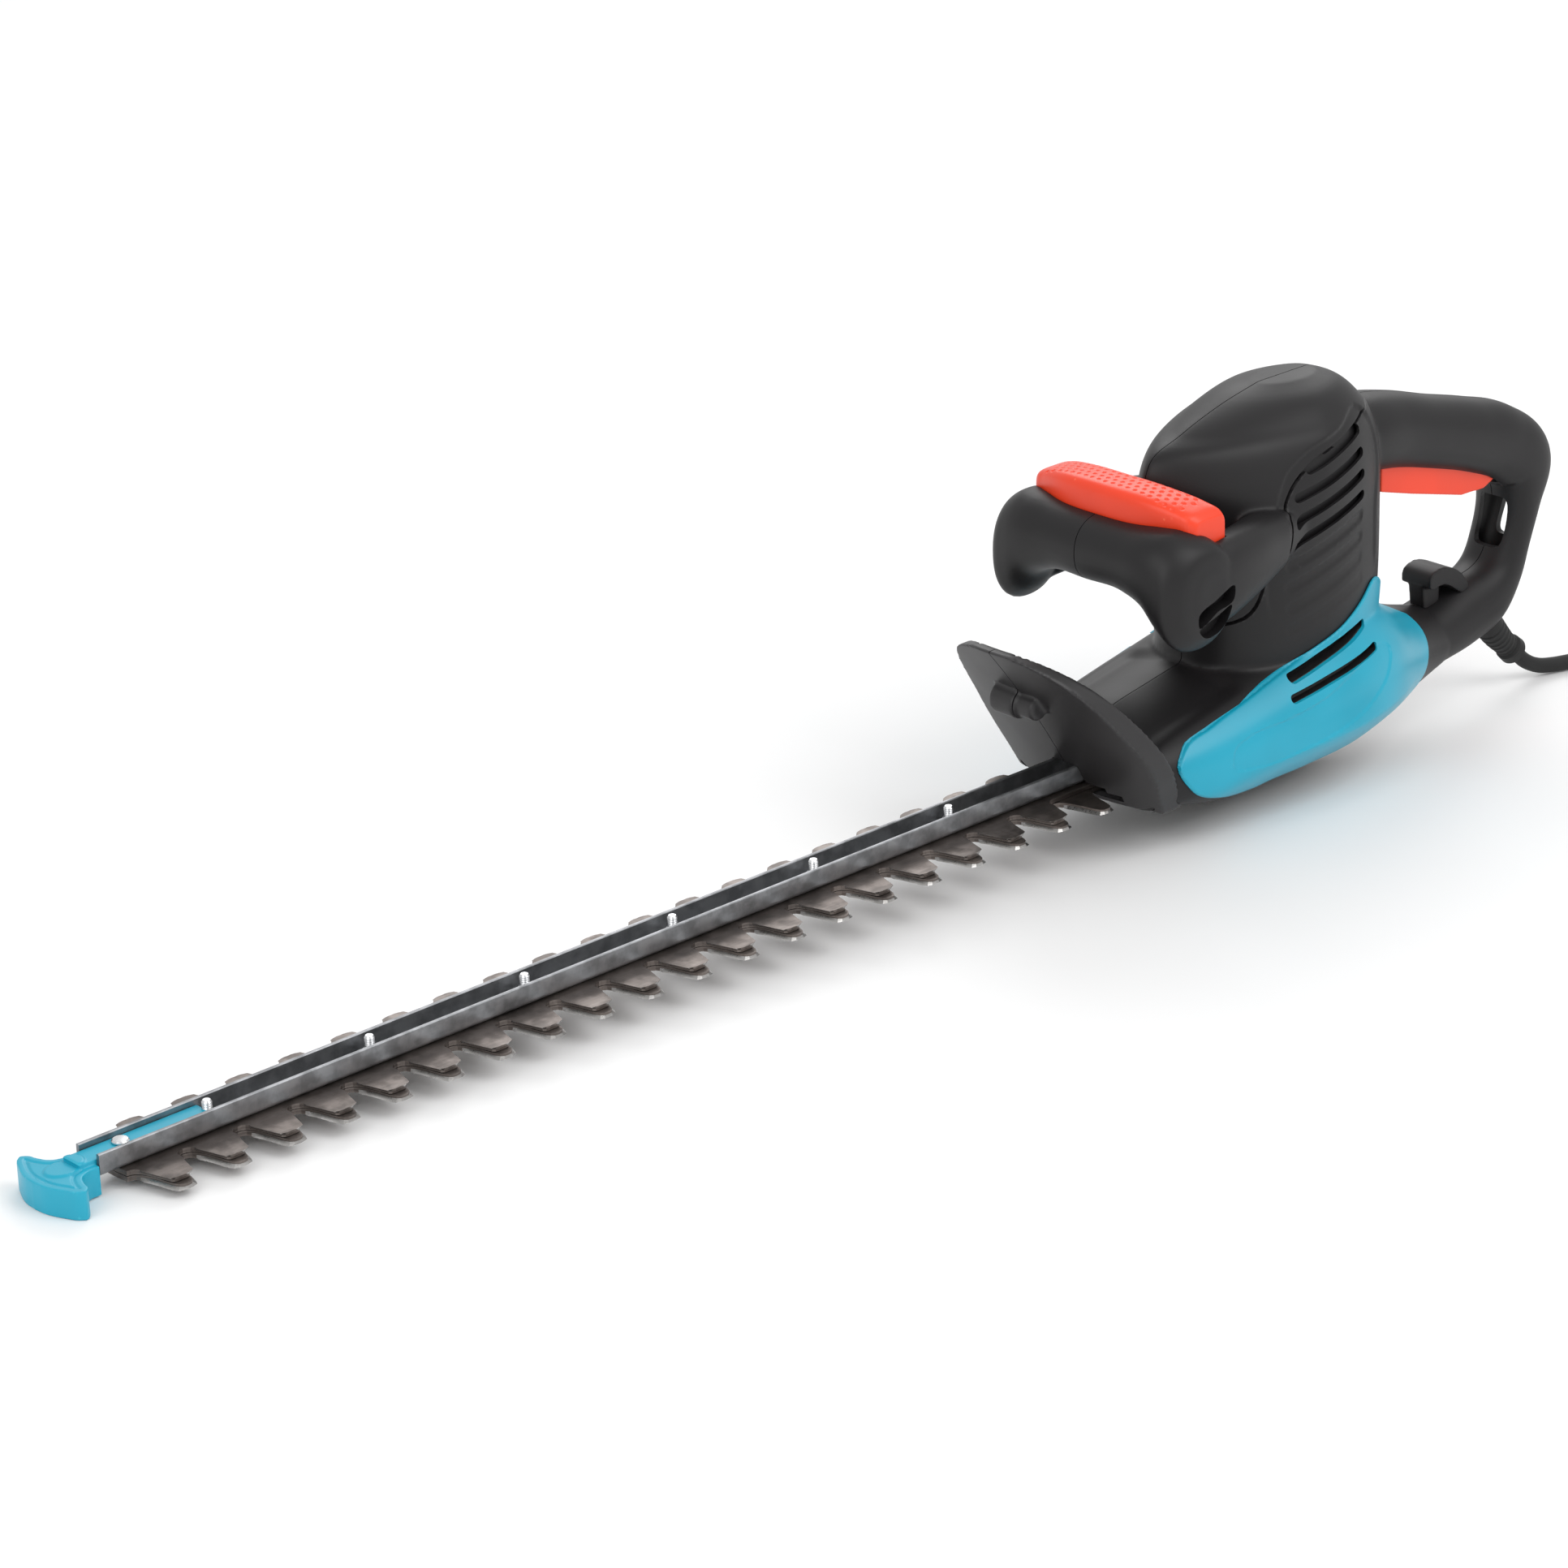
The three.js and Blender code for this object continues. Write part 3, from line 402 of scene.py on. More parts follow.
def moulding(name, colour, rubbed, rough, grain=2600.0, depth=0.00002, shine=0.5):
    """Injection-moulded plastic: fine grain, a slow drift of gloss, and edges rubbed paler."""
    material, tree, shader = fresh(name, ior=1.5)
    grained = placed_group(tree, GRAIN, grain_scale=grain)
    worn = placed_group(tree, WEAR)
    drift = grained.outputs["Drift"]
    shade = mixed(tree, drift, colour, tuple(c * 1.12 for c in colour))
    tree.links.new(mixed(tree, worn.outputs["Rubbed"], shade, rubbed), shader.inputs["Base Color"])
    gloss = ramp(tree, drift, 0, 1, rough - 0.03, rough + 0.04)
    tree.links.new(gloss, shader.inputs["Roughness"])
    tree.links.new(bumped(tree, grained.outputs["Height"], depth), shader.inputs["Normal"])
    shader.inputs["Specular IOR Level"].default_value = shine
    return material


def metal(name, colour, dull, rough, lines=900.0, depth=0.00001, shine=1.0):
    """Rolled, ground or machined metal with lines along the tool."""
    material, tree, shader = fresh(name)
    drawn = placed_group(tree, DRAWN, line_scale=lines)
    worn = placed_group(tree, WEAR, start=0.54, full=0.66)
    tone = drawn.outputs["Tone"]
    shade = mixed(tree, tone, colour, dull)
    bright = tuple(min(c * 1.6 + 0.05, 0.9) for c in colour)
    tree.links.new(mixed(tree, worn.outputs["Rubbed"], shade, bright), shader.inputs["Base Color"])
    gloss = ramp(tree, drawn.outputs["Height"], 0.3, 0.7, rough - 0.06, rough + 0.08)
    tree.links.new(gloss, shader.inputs["Roughness"])
    tree.links.new(bumped(tree, drawn.outputs["Height"], depth), shader.inputs["Normal"])
    shader.inputs["Metallic"].default_value = shine
    return material


casing_black = moulding(
    "casing_black", (0.0085, 0.0078, 0.0085), (0.03, 0.029, 0.03), 0.46, shine=0.36
)
guard_grey = moulding("guard_grey", (0.021, 0.02, 0.021), (0.06, 0.058, 0.06), 0.42, shine=0.42)
cover_teal = moulding("cover_teal", (0.006, 0.33, 0.47), (0.03, 0.45, 0.57), 0.34, depth=0.00001)
control_orange = moulding("control_orange", (0.8, 0.045, 0.009), (0.9, 0.12, 0.05), 0.36, depth=0.00001)
soft_rubber = moulding(
    "soft_rubber", (0.009, 0.009, 0.009), (0.03, 0.03, 0.03), 0.6, grain=1600.0, shine=0.4
)
inner_black = moulding("inner_black", (0.02, 0.02, 0.02), (0.04, 0.04, 0.04), 0.55)
brush_carbon = moulding("brush_carbon", (0.012, 0.012, 0.013), (0.05, 0.05, 0.05), 0.4)
blade_dark = metal("blade_dark", (0.16, 0.135, 0.122), (0.09, 0.078, 0.072), 0.38, shine=0.85)
ground_edge = metal("ground_edge", (0.42, 0.41, 0.4), (0.3, 0.29, 0.28), 0.3, lines=1400.0)
rail_grey = metal("rail_grey", (0.21, 0.215, 0.225), (0.15, 0.154, 0.16), 0.36, shine=0.85)
zinc_plate = metal("zinc_plate", (0.78, 0.79, 0.8), (0.62, 0.63, 0.65), 0.28)
machine_steel = metal("machine_steel", (0.4, 0.4, 0.41), (0.3, 0.3, 0.31), 0.36)
cast_alloy = metal("cast_alloy", (0.5, 0.51, 0.52), (0.4, 0.41, 0.42), 0.5, lines=400.0)
winding_copper = metal("winding_copper", (0.45, 0.17, 0.07), (0.3, 0.1, 0.04), 0.35, lines=2000.0)
contact_brass = metal("contact_brass", (0.62, 0.48, 0.2), (0.5, 0.38, 0.16), 0.28)

# ---- supply cord -----------------------------------------------------------------------
# Route in the floor's frame, in millimetres.
CORD = [
    (-404.9, 0, 15.6), (-409.7, 0.2, 10.9), (-415.2, 0.6, 7.4), (-421.7, 1.3, 4.9),
    (-429.7, 2.7, 3.8), (-439.7, 5.4, 3.7), (-451.7, 10.5, 3.7), (-462.7, 18, 3.7),
    (-471.2, 26.12, 3.7), (-476.7, 37.05, 3.7), (-478.7, 48.92, 3.7), (-476.7, 60.8, 3.7),
    (-471.2, 71.72, 3.7), (-462.7, 80.75, 3.7), (-451.7, 87.97, 3.7), (-438.7, 94.05, 3.7),
    (-423.7, 101.2, 3.7), (-407.7, 109.2, 3.7), (-391.7, 117.6, 3.7), (-375.7, 126, 4.4),
    (-360.3, 133.9, 7.5),
]
CORD_R = 3.5
route = through(CORD, 160)
cord_line = bpy.data.curves.new("mains_lead", "CURVE")
cord_line.dimensions = "3D"
cord_line.bevel_depth = CORD_R * MM
cord_line.bevel_resolution = 5
cord_line.use_fill_caps = True
run = cord_line.splines.new("POLY")
run.points.add(len(route) - 1)
run.points.foreach_set("co", np.c_[route * MM, np.ones(len(route))].ravel())
run.use_smooth = True
mains_lead = bpy.data.objects.new("mains_lead", cord_line)
bpy.context.scene.collection.objects.link(mains_lead)
cord_line.materials.append(soft_rubber)
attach(mains_lead, "casing")
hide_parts("mains_cord")

# Flat two-pin plug, lying on its side along the cord's last stretch.
ahead = np.array(CORD[-1]) - np.array(CORD[-2])
PLUG_PLACE = (
    FLOOR
    @ Matrix.Translation(CORD[-1])
    @ Matrix.Rotation(math.atan2(ahead[1], ahead[0]), 4, "Z")
)
PLUG_DROP = CORD[-1][2] - 0.4  # from the cord's middle down to the plug's underside
# The plug's sections: (distance from the cord's end, half width, half height).
PLUG_BODY = [
    (1, 4.4, 4.8), (6, 4.8, 5.2), (10, 5.6, 6), (16, 10.6, 6.9),
    (24, 15.6, 7.1), (31, 17.2, 7.1), (38, 17.4, 7.1),
]
rings = []
for x, w, high in through(PLUG_BODY, 60, ruler=slice(0, 2)):
    ring = rounded_ring(w, high, min(high, PLUG_DROP), 3.2, 3.2, 64)
    rings.append(np.c_[np.full(64, x), ring])
plug_body = fused([lofted(rings)], 0.45, 3)
finger_grooves = [
    prism(through([(x, 16), (x + 0.9, 12), (x, 8), (x - 0.9, 12)], 24, closed=True), 5.9, 9, "z")
    for x in (24, 27.5, 31)
]
plug_body = cut(plug_body, *finger_grooves)
piece(plug_body, "plug_body", "casing", soft_rubber, ["mains_plug"], PLUG_PLACE)
PIN = [
    (0, 38.3), (2.0, 38.3), (2.0, 39), (1.95, 48), (1.7, 48.3), (2.0, 48.6),
    (2.0, 56), (1.5, 57.1), (0.6, 57.3), (0, 57.3),
]
PIN_APART = 19
for name, side in SIDES:
    rod = solid(lathe(PIN, sides=24))
    lying = Matrix.Rotation(math.pi / 2, 4, "Y")
    rod.data.transform(Matrix.Translation((0, side * PIN_APART / 2, 0)) @ lying)
    stands_for = [f"plug_pin_{name}"]
    pin = piece(rod, f"pin_{name}", "casing", contact_brass, stands_for, PLUG_PLACE)

# ---- casing shapes ---------------------------------------------------------------------
# Lower body: sections across the tool, (x, half width, top, widest height, bottom, upper n, lower n).
BODY = [
    (-492, 40, 23, 6, -6, 3, 6),
    (-505, 44, 28, 5, -8, 2.6, 4),
    (-530, 48, 33, 4, -18, 2.6, 2.2),
    (-560, 50, 38, 4, -29, 2.8, 1.4),
    (-590, 51, 44, 4, -31.5, 2.8, 1.25),
    (-620, 49, 47, 5, -31.5, 2.8, 1.25),
    (-645, 42, 44, 6, -24, 2.6, 1.4),
    (-665, 33, 34, 7, -17, 2.4, 1.7),
    (-687, 23, 24, 5, -13, 2.2, 2),
    (-706, 17, 19, 4, -10, 2, 2),
]
# Tower and hood: level sections, (z, front, widest x, rear, half width, front n, rear n).
TOWER = [
    (10, -548, -600, -659, 34, 2.4, 2),
    (50, -551, -600, -663, 37.5, 2.4, 2),
    (90, -548, -600, -663, 39, 2.3, 2),
    (108, -537, -600, -662, 40, 1.75, 2),
    (120, -528, -600, -660, 39, 1.45, 2),
    (130, -531, -602, -656, 36.5, 1.4, 2),
    (138, -550, -606, -650, 31, 1.45, 2),
    (145.5, -575, -611, -641, 22.5, 1.6, 2),
    (150, -598, -615, -630, 10, 2, 2),
]
# Rear handle: stations along its middle line, (x, z, half thickness in the plane, half width).
HANDLE = [
    (-640, 113, 17, 19),
    (-660, 112, 17.5, 19),
    (-679, 108.5, 17, 17.5),
    (-705, 101, 16.5, 17),
    (-731, 93, 17, 17),
    (-751, 85, 18, 17),
    (-766, 72, 18, 17),
    (-765, 55, 11.5, 15.5),
    (-760, 38, 9.5, 15),
    (-753.5, 23.5, 11.5, 15),
    (-744, 14.5, 15, 15.5),
    (-729, 9.5, 15.5, 15.5),
    (-708, 5.5, 14, 16.5),
    (-688, 4, 14, 18),
]
# Front grip: sections across the bar, (y, x, z, half depth, half height), out to the rounded lobes.
GRIP = [
    (0, -503, 102.3, 17, 14.7),
    (22, -503, 102, 17, 15),
    (35, -503, 99.5, 17.5, 18),
    (43, -505, 94, 19, 23),
    (48.5, -507, 90.5, 20, 24),
    (53, -509, 91, 17, 20),
    (55.5, -511, 91, 9, 10),
]
# Shoulder that carries the grip back into the hood: (x, inner y, outer y, low, high).
SHOULDER = [
    (-508, 40, 55, 72, 106),
    (-525, 36, 55, 74, 110),
    (-545, 30, 52, 78, 110),
    (-566, 22, 46, 82, 108),
    (-590, 14, 38, 86, 106),
]
# Where the hood ends and the main casing begins, seen from the side.
HOOD_ZONE = [
    (-552, 56), (-560, 60), (-570, 87), (-582, 117), (-592, 124), (-612, 129.5), (-634, 134),
    (-700, 138),
]
# Outline of a side cover, seen from the side.
COVER = [
    (-503, 14), (-509, 20), (-526, 25), (-554, 31.5), (-578, 37), (-596, 41), (-612, 45.5),
    (-626, 52), (-637, 58), (-655, 50), (-672, 37), (-683, 18), (-679, 6), (-660, -4),
    (-625, -12), (-591, -14), (-552, -12), (-528, -7), (-509, 2),
]
# Cooling slots as pairs of (x, z), front and rear.
TOWER_SLOTS = [
    ((-580, 90), (-625, 100.5)), ((-581, 99.7), (-625, 110)),
    ((-584, 110), (-625, 119.5)), ((-591, 121), (-625, 129)),
]
TOWER_SLOT_HIGH = 4.6
COVER_SLOTS = [((-574, 33), (-626, 42)), ((-570, 26.2), (-626, 33.2))]
COVER_SLOT_HIGH = 3.7
COVER_PROUD = 1.5  # a cover's outer face off the housing
WALL = 2.6
GAP = 0.3  # between pieces that touch
SEAM = 0.22  # half the gap on the centre seam
GROOVE = 1.1  # between the hood and the housing
PLATE = 2.0  # blade plate
UPPER_Z = GAP  # underside of the upper blade


def body_skin(grow):
    rows = through(BODY, 70, ruler=slice(0, 3))
    rings = []
    for i, (x, w, top, mid, bottom, upper, lower) in enumerate(rows):
        end = grow if i == 0 else (-grow if i == len(rows) - 1 else 0)
        ring = rounded_ring(w + grow, top - mid + grow, mid - bottom + grow, upper, lower, 96)
        rings.append(np.c_[np.full(96, x + end), ring[:, 0], mid + ring[:, 1]])
    return lofted(rings)


def tower_skin(grow):
    rows = through(TOWER, 60, ruler=[0, 1, 3])
    rings = []
    for i, (z, front, middle, rear, w, forward, back) in enumerate(rows):
        ring = rounded_ring(w + grow, front - middle + grow, middle - rear + grow, forward, back, 96)
        level = z + (grow if i == len(rows) - 1 else 0)
        rings.append(np.c_[middle + ring[:, 1], ring[:, 0], np.full(96, level)])
    return lofted(rings)


def handle_skin(grow):
    rows = through(HANDLE, 110, ruler=slice(0, 2))
    along = np.gradient(rows[:, :2], axis=0)
    along /= np.linalg.norm(along, axis=1)[:, None]
    rings = []
    for (x, z, thick, wide), (ax, az) in zip(rows, along):
        ring = rounded_ring(wide + grow, thick + grow, thick + grow, 2.3, 2.3, 64)
        rings.append(np.c_[x - az * ring[:, 1], ring[:, 0], z + ax * ring[:, 1]])
    return lofted(rings)


def mirrored_rows(rows):
    return [(-y, *rest) for y, *rest in rows[:0:-1]] + list(rows)


def grip_skin():
    rings = []
    for y, x, z, deep, high in through(mirrored_rows(GRIP), 120, ruler=[0, 3, 4]):
        ring = rounded_ring(deep, high, high, 2.3, 2.3, 64)
        rings.append(np.c_[x + ring[:, 0], np.full(64, y), z + ring[:, 1]])
    return lofted(rings)


def shoulder_skin(side):
    rings = []
    for x, inner, outer, low, high in through(SHOULDER, 40, ruler=[0]):
        ring = rounded_ring((outer - inner) / 2, (high - low) / 2, (high - low) / 2, 2.6, 2.6, 64)
        y = side * ((inner + outer) / 2 + ring[:, 0])
        rings.append(np.c_[np.full(64, x), y, (low + high) / 2 + ring[:, 1]])
    return lofted(rings)


def floor_height(x):
    return x * math.tan(REST_PITCH) - LIFT_Z / math.cos(REST_PITCH)


floor_line = [(200, floor_height(200)), (-900, floor_height(-900))]
below_floor = prism([*floor_line, (-900, -300), (200, -300)], -200, 200)


def slot_outline(start, end, high):
    """A slot with round ends from one (x, z) point to another."""
    (x0, z0), (x1, z1) = start, end
    turn = math.atan2(z1 - z0, x1 - x0)
    outline = []
    for (x, z), facing in (((x1, z1), -90), ((x0, z0), 90)):
        for a in np.radians(np.linspace(facing, facing + 180, 9)) + turn:
            outline.append((x + high / 2 * math.cos(a), z + high / 2 * math.sin(a)))
    return outline


def wall_slots(slots, high, y0, y1):
    return [
        prism(slot_outline(*slot, high), *sorted((side * y0, side * y1)))
        for slot in slots
        for _, side in SIDES
    ]


# ---- front switch bar ------------------------------------------------------------------
SWITCH_BAR = [
    (0, -510.5, 108, 129.5, 11),
    (24, -512.5, 107, 128.2, 11),
    (38, -516.5, 105, 125, 10.5),
    (44, -518.5, 105, 122.5, 10),
    (46, -519.5, 106, 120.5, 8.5),
]
BAR_TRAVEL = 4


def switch_bar_skin(grow, drop, stations=60, count=64):
    rows = through(mirrored_rows(SWITCH_BAR), stations, ruler=[0, 3])
    rings = []
    for i, (y, x, low, high, deep) in enumerate(rows):
        end = -grow if i == 0 else (grow if i == len(rows) - 1 else 0)
        mid = (low + high) / 2
        ring = rounded_ring(deep + grow, high - mid + grow, mid - low + grow + drop, 5, 6, count)
        rings.append(np.c_[x + ring[:, 0], np.full(count, y + end), mid + ring[:, 1]])
    return lofted(rings)


bar = fused([switch_bar_skin(0, 0)], 0.42, 3)
bar_points = points_of(bar)
bar_normals = normals_of(bar)
# Dimples in five staggered rows along the bar's top.
DIMPLE_R, DIMPLE_DEEP = 1.05, 0.5
DIMPLE_STEP, ROW_STEP, FIRST_ROW_X = 4.0, 3.6, -519.5
dimple = np.zeros(len(bar_points))
for row in range(5):
    for k in range(-9, 10):
        x, y = FIRST_ROW_X + ROW_STEP * row, DIMPLE_STEP * (k + 0.5 * (row % 2))
        near = np.hypot(bar_points[:, 0] - x + abs(y) * 0.05, bar_points[:, 1] - y)
        dimple = np.maximum(dimple, np.sqrt(np.clip(1 - (near / DIMPLE_R) ** 2, 0, 1)))
bar = sunk(bar, DIMPLE_DEEP * dimple * fade(bar_normals[:, 2], 0.6, 0.8))
piece(bar, "switch_bar_moulding", "switch_bar", control_orange, ["front_switch_bar"])

# ---- rear trigger ----------------------------------------------------------------------
TRIGGER = [
    (-668.5, 100), (-668.5, 84), (-690, 77.6), (-723, 68.5), (-738, 68), (-749, 72.5), (-749, 77),
    (-738, 84), (-690, 100),
]
TRIGGER_ROOM = [(-667.5, 104), (-667.5, 70), (-751, 60), (-752, 88), (-738, 93), (-690, 106)]
TRIGGER_HALF = 8.5
trigger = fused([prism(TRIGGER, -TRIGGER_HALF, TRIGGER_HALF)], 0.55, 7)
piece(trigger, "trigger_moulding", "trigger", control_orange, ["rear_trigger"])

# ---- casing mouldings ------------------------------------------------------------------
hood_line = through(HOOD_ZONE, 60)
hood_zone = prism([(-440, 56), *hood_line, (-700, 170), (-440, 170)], -90, 90)
wider_line = hood_line - GROOVE
wider_hood_zone = prism([(-440, 56 - GROOVE), *wider_line, (-700 - GROOVE, 171), (-440, 171)], -91, 91)
MOUTH_HALF = 17.5
blade_mouth = block(-530, -470, -MOUTH_HALF, MOUTH_HALF, -PLATE - 2 * GAP, UPPER_Z + PLATE + GAP)
rail_mouth = block(-530, -400, -7.3, 7.3, -PLATE, 12.0)
# Upright window through the handle's rear arm.
window_line = rounded_ring(8, 11.5, 11.5, 6, 6, 32) + (0, 47.5)
handle_window = prism(window_line, -800, -740, "x")
sleeve_way = solid(lathe([(0, -20), (4.2, -20), (4.2, 20), (0, 20)]))
sleeve_way.data.transform(Matrix.Translation((-757, 0, -5)) @ Matrix.Rotation(0.9, 4, "Y"))

shoulders = [shoulder_skin(side) for _, side in SIDES]
outer = fused([body_skin(0), tower_skin(0), handle_skin(0), grip_skin(), *shoulders], 1.1, 6)
at = points_of(outer)
facing = normals_of(outer)
side_on = fade(np.abs(facing[:, 1]), 0.45, 0.75)
# Recessed louvre panel on each side of the tower.
LOUVRE_PANEL = [
    (-571, 60), (-570, 90), (-574, 112), (-579, 121), (-588, 127), (-610, 133), (-632, 137),
    (-640, 128), (-641, 90), (-640, 60),
]
inside = depth_inside(at[:, [0, 2]], through(LOUVRE_PANEL, 60, closed=True))
panel = fade(inside, -0.9, 0.9) * fade(at[:, 2], 56, 72)
panel *= (np.abs(at[:, 1]) > 20) * (np.abs(at[:, 1]) < 46)
depth = 1.1 * panel * side_on
# Blind louvres below the open ones, shallower one by one.
LOUVRE_STEP = 9.5
for i in range(1, 5):
    (x0, z0), (x1, z1) = TOWER_SLOTS[0]
    drop = LOUVRE_STEP * i
    below = np.array(slot_outline((x0, z0 - drop), (x1, z1 - drop), TOWER_SLOT_HIGH))
    blind = fade(depth_inside(at[:, [0, 2]], below), -0.6, 0.6) * (np.abs(at[:, 1]) > 20)
    depth += (1.0 - 0.2 * i) * blind * side_on
# Two roof facets on the nose, meeting in a ridge on the seam.
roof = fade(at[:, 0], -556, -546) * fade(at[:, 2], 12, 20) * (at[:, 2] < 50)
roof *= fade(facing[:, 2], 0.45, 0.75)
from_ridge = np.abs(at[:, 1])
depth += 2.0 * np.clip(from_ridge / 24, 0, 1) * roof * (1 - fade(from_ridge, 26, 35))
outer = sunk(outer, depth)

# Two hollows with a rib between them, low on each lobe of the front grip.
LOBE_HOLLOWS = [
    [(-502.5, 84), (-512, 88.5), (-524.5, 91.5), (-524, 86), (-514, 83.5), (-503, 79)],
    [(-503.5, 77), (-513, 81.5), (-523, 83.5), (-521, 77), (-515, 73), (-508, 72.8)],
]
lobe_cuts = []
for hollow in LOBE_HOLLOWS:
    for _, side in SIDES:
        lobe_cuts.append(prism(through(hollow, 48, closed=True), *sorted((side * 49, side * 60))))
outer = cut(outer, *lobe_cuts)
inner = fused([body_skin(-WALL), tower_skin(-WALL), handle_skin(-WALL)], 2.2, 3)
outer = combined(outer, inner, "DIFFERENCE")
outer = cut(outer, below_floor)
outer = cut(outer, blade_mouth)
outer = cut(outer, rail_mouth)
outer = cut(outer, prism(TRIGGER_ROOM, -TRIGGER_HALF - 0.8, TRIGGER_HALF + 0.8))
outer = cut(outer, handle_window)
outer = cut(outer, switch_bar_skin(0.5, BAR_TRAVEL))
housing = cut(copy_of(outer), wider_hood_zone)
housing = cut(housing, *wall_slots(TOWER_SLOTS, TOWER_SLOT_HIGH, 20, 60))
housing = cut(housing, *wall_slots(COVER_SLOTS, COVER_SLOT_HIGH, 25, 70))
housing = combined(housing, sleeve_way, "DIFFERENCE")
# Dust screens behind the cooling slots.
for skin, room in (
    (tower_skin, (-650, -566, 15, 60, 84, 142)),
    (body_skin, (-640, -560, 20, 60, 18, 54)),
):
    behind = fused([skin(-2.4 - WALL)], 1.5, 1)
    screen = combined(fused([skin(-1.4 - WALL)], 1.5, 1), copy_of(behind), "DIFFERENCE")
    struts = combined(fused([skin(0.4 - WALL)], 1.5, 1), behind, "DIFFERENCE")
    x0, x1, y0, y1, z0, z1 = room
    for _, side in SIDES:
        band = sorted((side * y0, side * y1))
        part = kept_inside(copy_of(screen), block(x0, x1, *band, z0, z1))
        housing = combined(housing, part, "UNION")
        for x in (x0, x1 - 1.5):
            strut = kept_inside(copy_of(struts), block(x, x + 1.5, *band, z0, z1))
            housing = combined(housing, strut, "UNION")
    bpy.data.objects.remove(screen)
    bpy.data.objects.remove(struts)
housing = cut(housing, wider_hood_zone)
hood = kept_inside(outer, hood_zone)
for name, side in SIDES:
    room = block(-900, 200, *sorted((side * SEAM, side * 300)), -200, 300)
    for moulding_shape, part in ((housing, "housing"), (hood, "hood")):
        shell = kept_inside(copy_of(moulding_shape), room)
        piece(shell, f"{name}_{part}_moulding", "casing", casing_black, [f"{name}_{part}"])
bpy.data.objects.remove(housing)
bpy.data.objects.remove(hood)

# ---- side covers -----------------------------------------------------------------------
cover_line = through(COVER, 140, closed=True)
PANEL_OVAL = [
    (-530, 8), (-532, 14.5), (-541, 18), (-562, 19.5), (-588, 23), (-612, 30), (-630, 33.5),
    (-637, 30), (-632, 22), (-618, 13.5), (-600, 7.5), (-572, 4), (-546, 3.5),
]
cover = fused([body_skin(COVER_PROUD), tower_skin(COVER_PROUD)], 0.75, 6)
at = points_of(cover)
inside = depth_inside(at[:, [0, 2]], cover_line)
round_over = 0.9  # radius of the cover's outer edge
from_middle = round_over - np.clip(inside, 0, round_over)
depth = round_over - np.sqrt(np.clip(round_over**2 - from_middle**2, 0, None))
oval = depth_inside(at[:, [0, 2]], through(PANEL_OVAL, 80, closed=True))
cover = sunk(cover, depth + 0.6 * fade(oval, -0.4, 0.4))
cover = cut(cover, below_floor)
cover = combined(cover, fused([body_skin(GAP), tower_skin(GAP)], 1.3, 6), "DIFFERENCE")
# Keeps the covers' upper edges off the roof of the nose.
COVER_TRIM = [(-480, -38.5), (-480, 38.5), (-545, 38.5), (-575, 33), (-575, -33), (-545, -38.5)]
cover = cut(cover, prism(COVER_TRIM, 10, 60, "z"))
cover = cut(cover, *wall_slots(COVER_SLOTS, COVER_SLOT_HIGH, 25, 70))
# The right cover stays lower over the nose.
FAR_TRIM = [
    (-490, 12), (-526, 17), (-554, 23), (-578, 28.5), (-596, 36), (-612, 46), (-612, 70),
    (-490, 70),
]
cover = cut(cover, prism(FAR_TRIM, -90, -14))
for name, side in SIDES:
    shell = kept_inside(copy_of(cover), prism(cover_line, *sorted((side * 14, side * 90))))
    piece(shell, f"{name}_cover_moulding", "casing", cover_teal, [f"{name}_side_cover"])
bpy.data.objects.remove(cover)

# ---- hand guard ------------------------------------------------------------------------
# Level sections, (z, half width, depth of the rim).
GUARD = [
    (-5, 42, 12), (4, 44, 12), (14, 46.5, 12), (25, 46.5, 12), (37, 43.5, 12),
    (48, 40, 11), (58, 35, 10), (65, 29, 8.5), (70, 21.5, 7), (73.5, 11, 5.5),
]


def guard_front(y, z):
    return -474 + 0.62 * (z - 20) + 0.002 * (z - 20) ** 2 - y * y / 290


def guard_skin(inset, start, deeper):
    rows = through(GUARD, 60, ruler=[0, 1])
    rings = []
    for i, (z, w, deep) in enumerate(rows):
        end = inset if i == 0 else (-inset if i == len(rows) - 1 else 0)
        y = np.linspace(-1, 1, 40) * max(w - inset, 1)
        face = guard_front(y, z)
        front = np.c_[face - start, y, np.full(40, z + end)]
        back = np.c_[face - deep - deeper, y, np.full(40, z + end)]
        rings.append(np.vstack([front, back[::-1]]))
    return lofted(rings)


def cross_rod(radius, x, z, y0, y1, ease=1.0):
    near_end = [(0, y0), (radius - ease, y0), (radius, y0 + ease)]
    far_end = [(radius, y1 - ease), (radius - ease, y1), (0, y1)]
    verts, faces = lathe(near_end + far_end)
    return outward(np.c_[x + verts[:, 0], verts[:, 2], z + verts[:, 1]], faces)


guard = solid(guard_skin(0, 0, 0))
guard = cut(guard, guard_skin(WALL, 3, 1))
# Stepped lug across the guard's front.
LUG_X, LUG_Z = -455, 45
lug = solid(cross_rod(6.8, LUG_X, LUG_Z, -14, 0.5))
lug = combined(lug, solid(cross_rod(5.2, LUG_X, LUG_Z, 0, 10)), "UNION")
lug = cut(lug, guard_skin(0, 1, 30))
guard = combined(guard, lug, "UNION")
melt = guard.modifiers.new("melt", "REMESH")
melt.mode = "VOXEL"
melt.voxel_size = 0.8
ease = guard.modifiers.new("ease", "SMOOTH")
ease.iterations = 4
guard = settled(guard)
guard = combined(guard, fused([body_skin(GAP)], 1.5, 1), "DIFFERENCE")
guard = cut(guard, blade_mouth)
guard = cut(guard, block(-492, -470, 15, 25, -PLATE - 2 * GAP, GAP))
guard = cut(guard, rail_mouth)
for name, side in SIDES:
    room = block(-900, 200, *sorted((side * SEAM, side * 300)), -200, 300)
    half = kept_inside(copy_of(guard), room)
    piece(half, f"{name}_guard_moulding", "casing", guard_grey, [f"{name}_guard"])
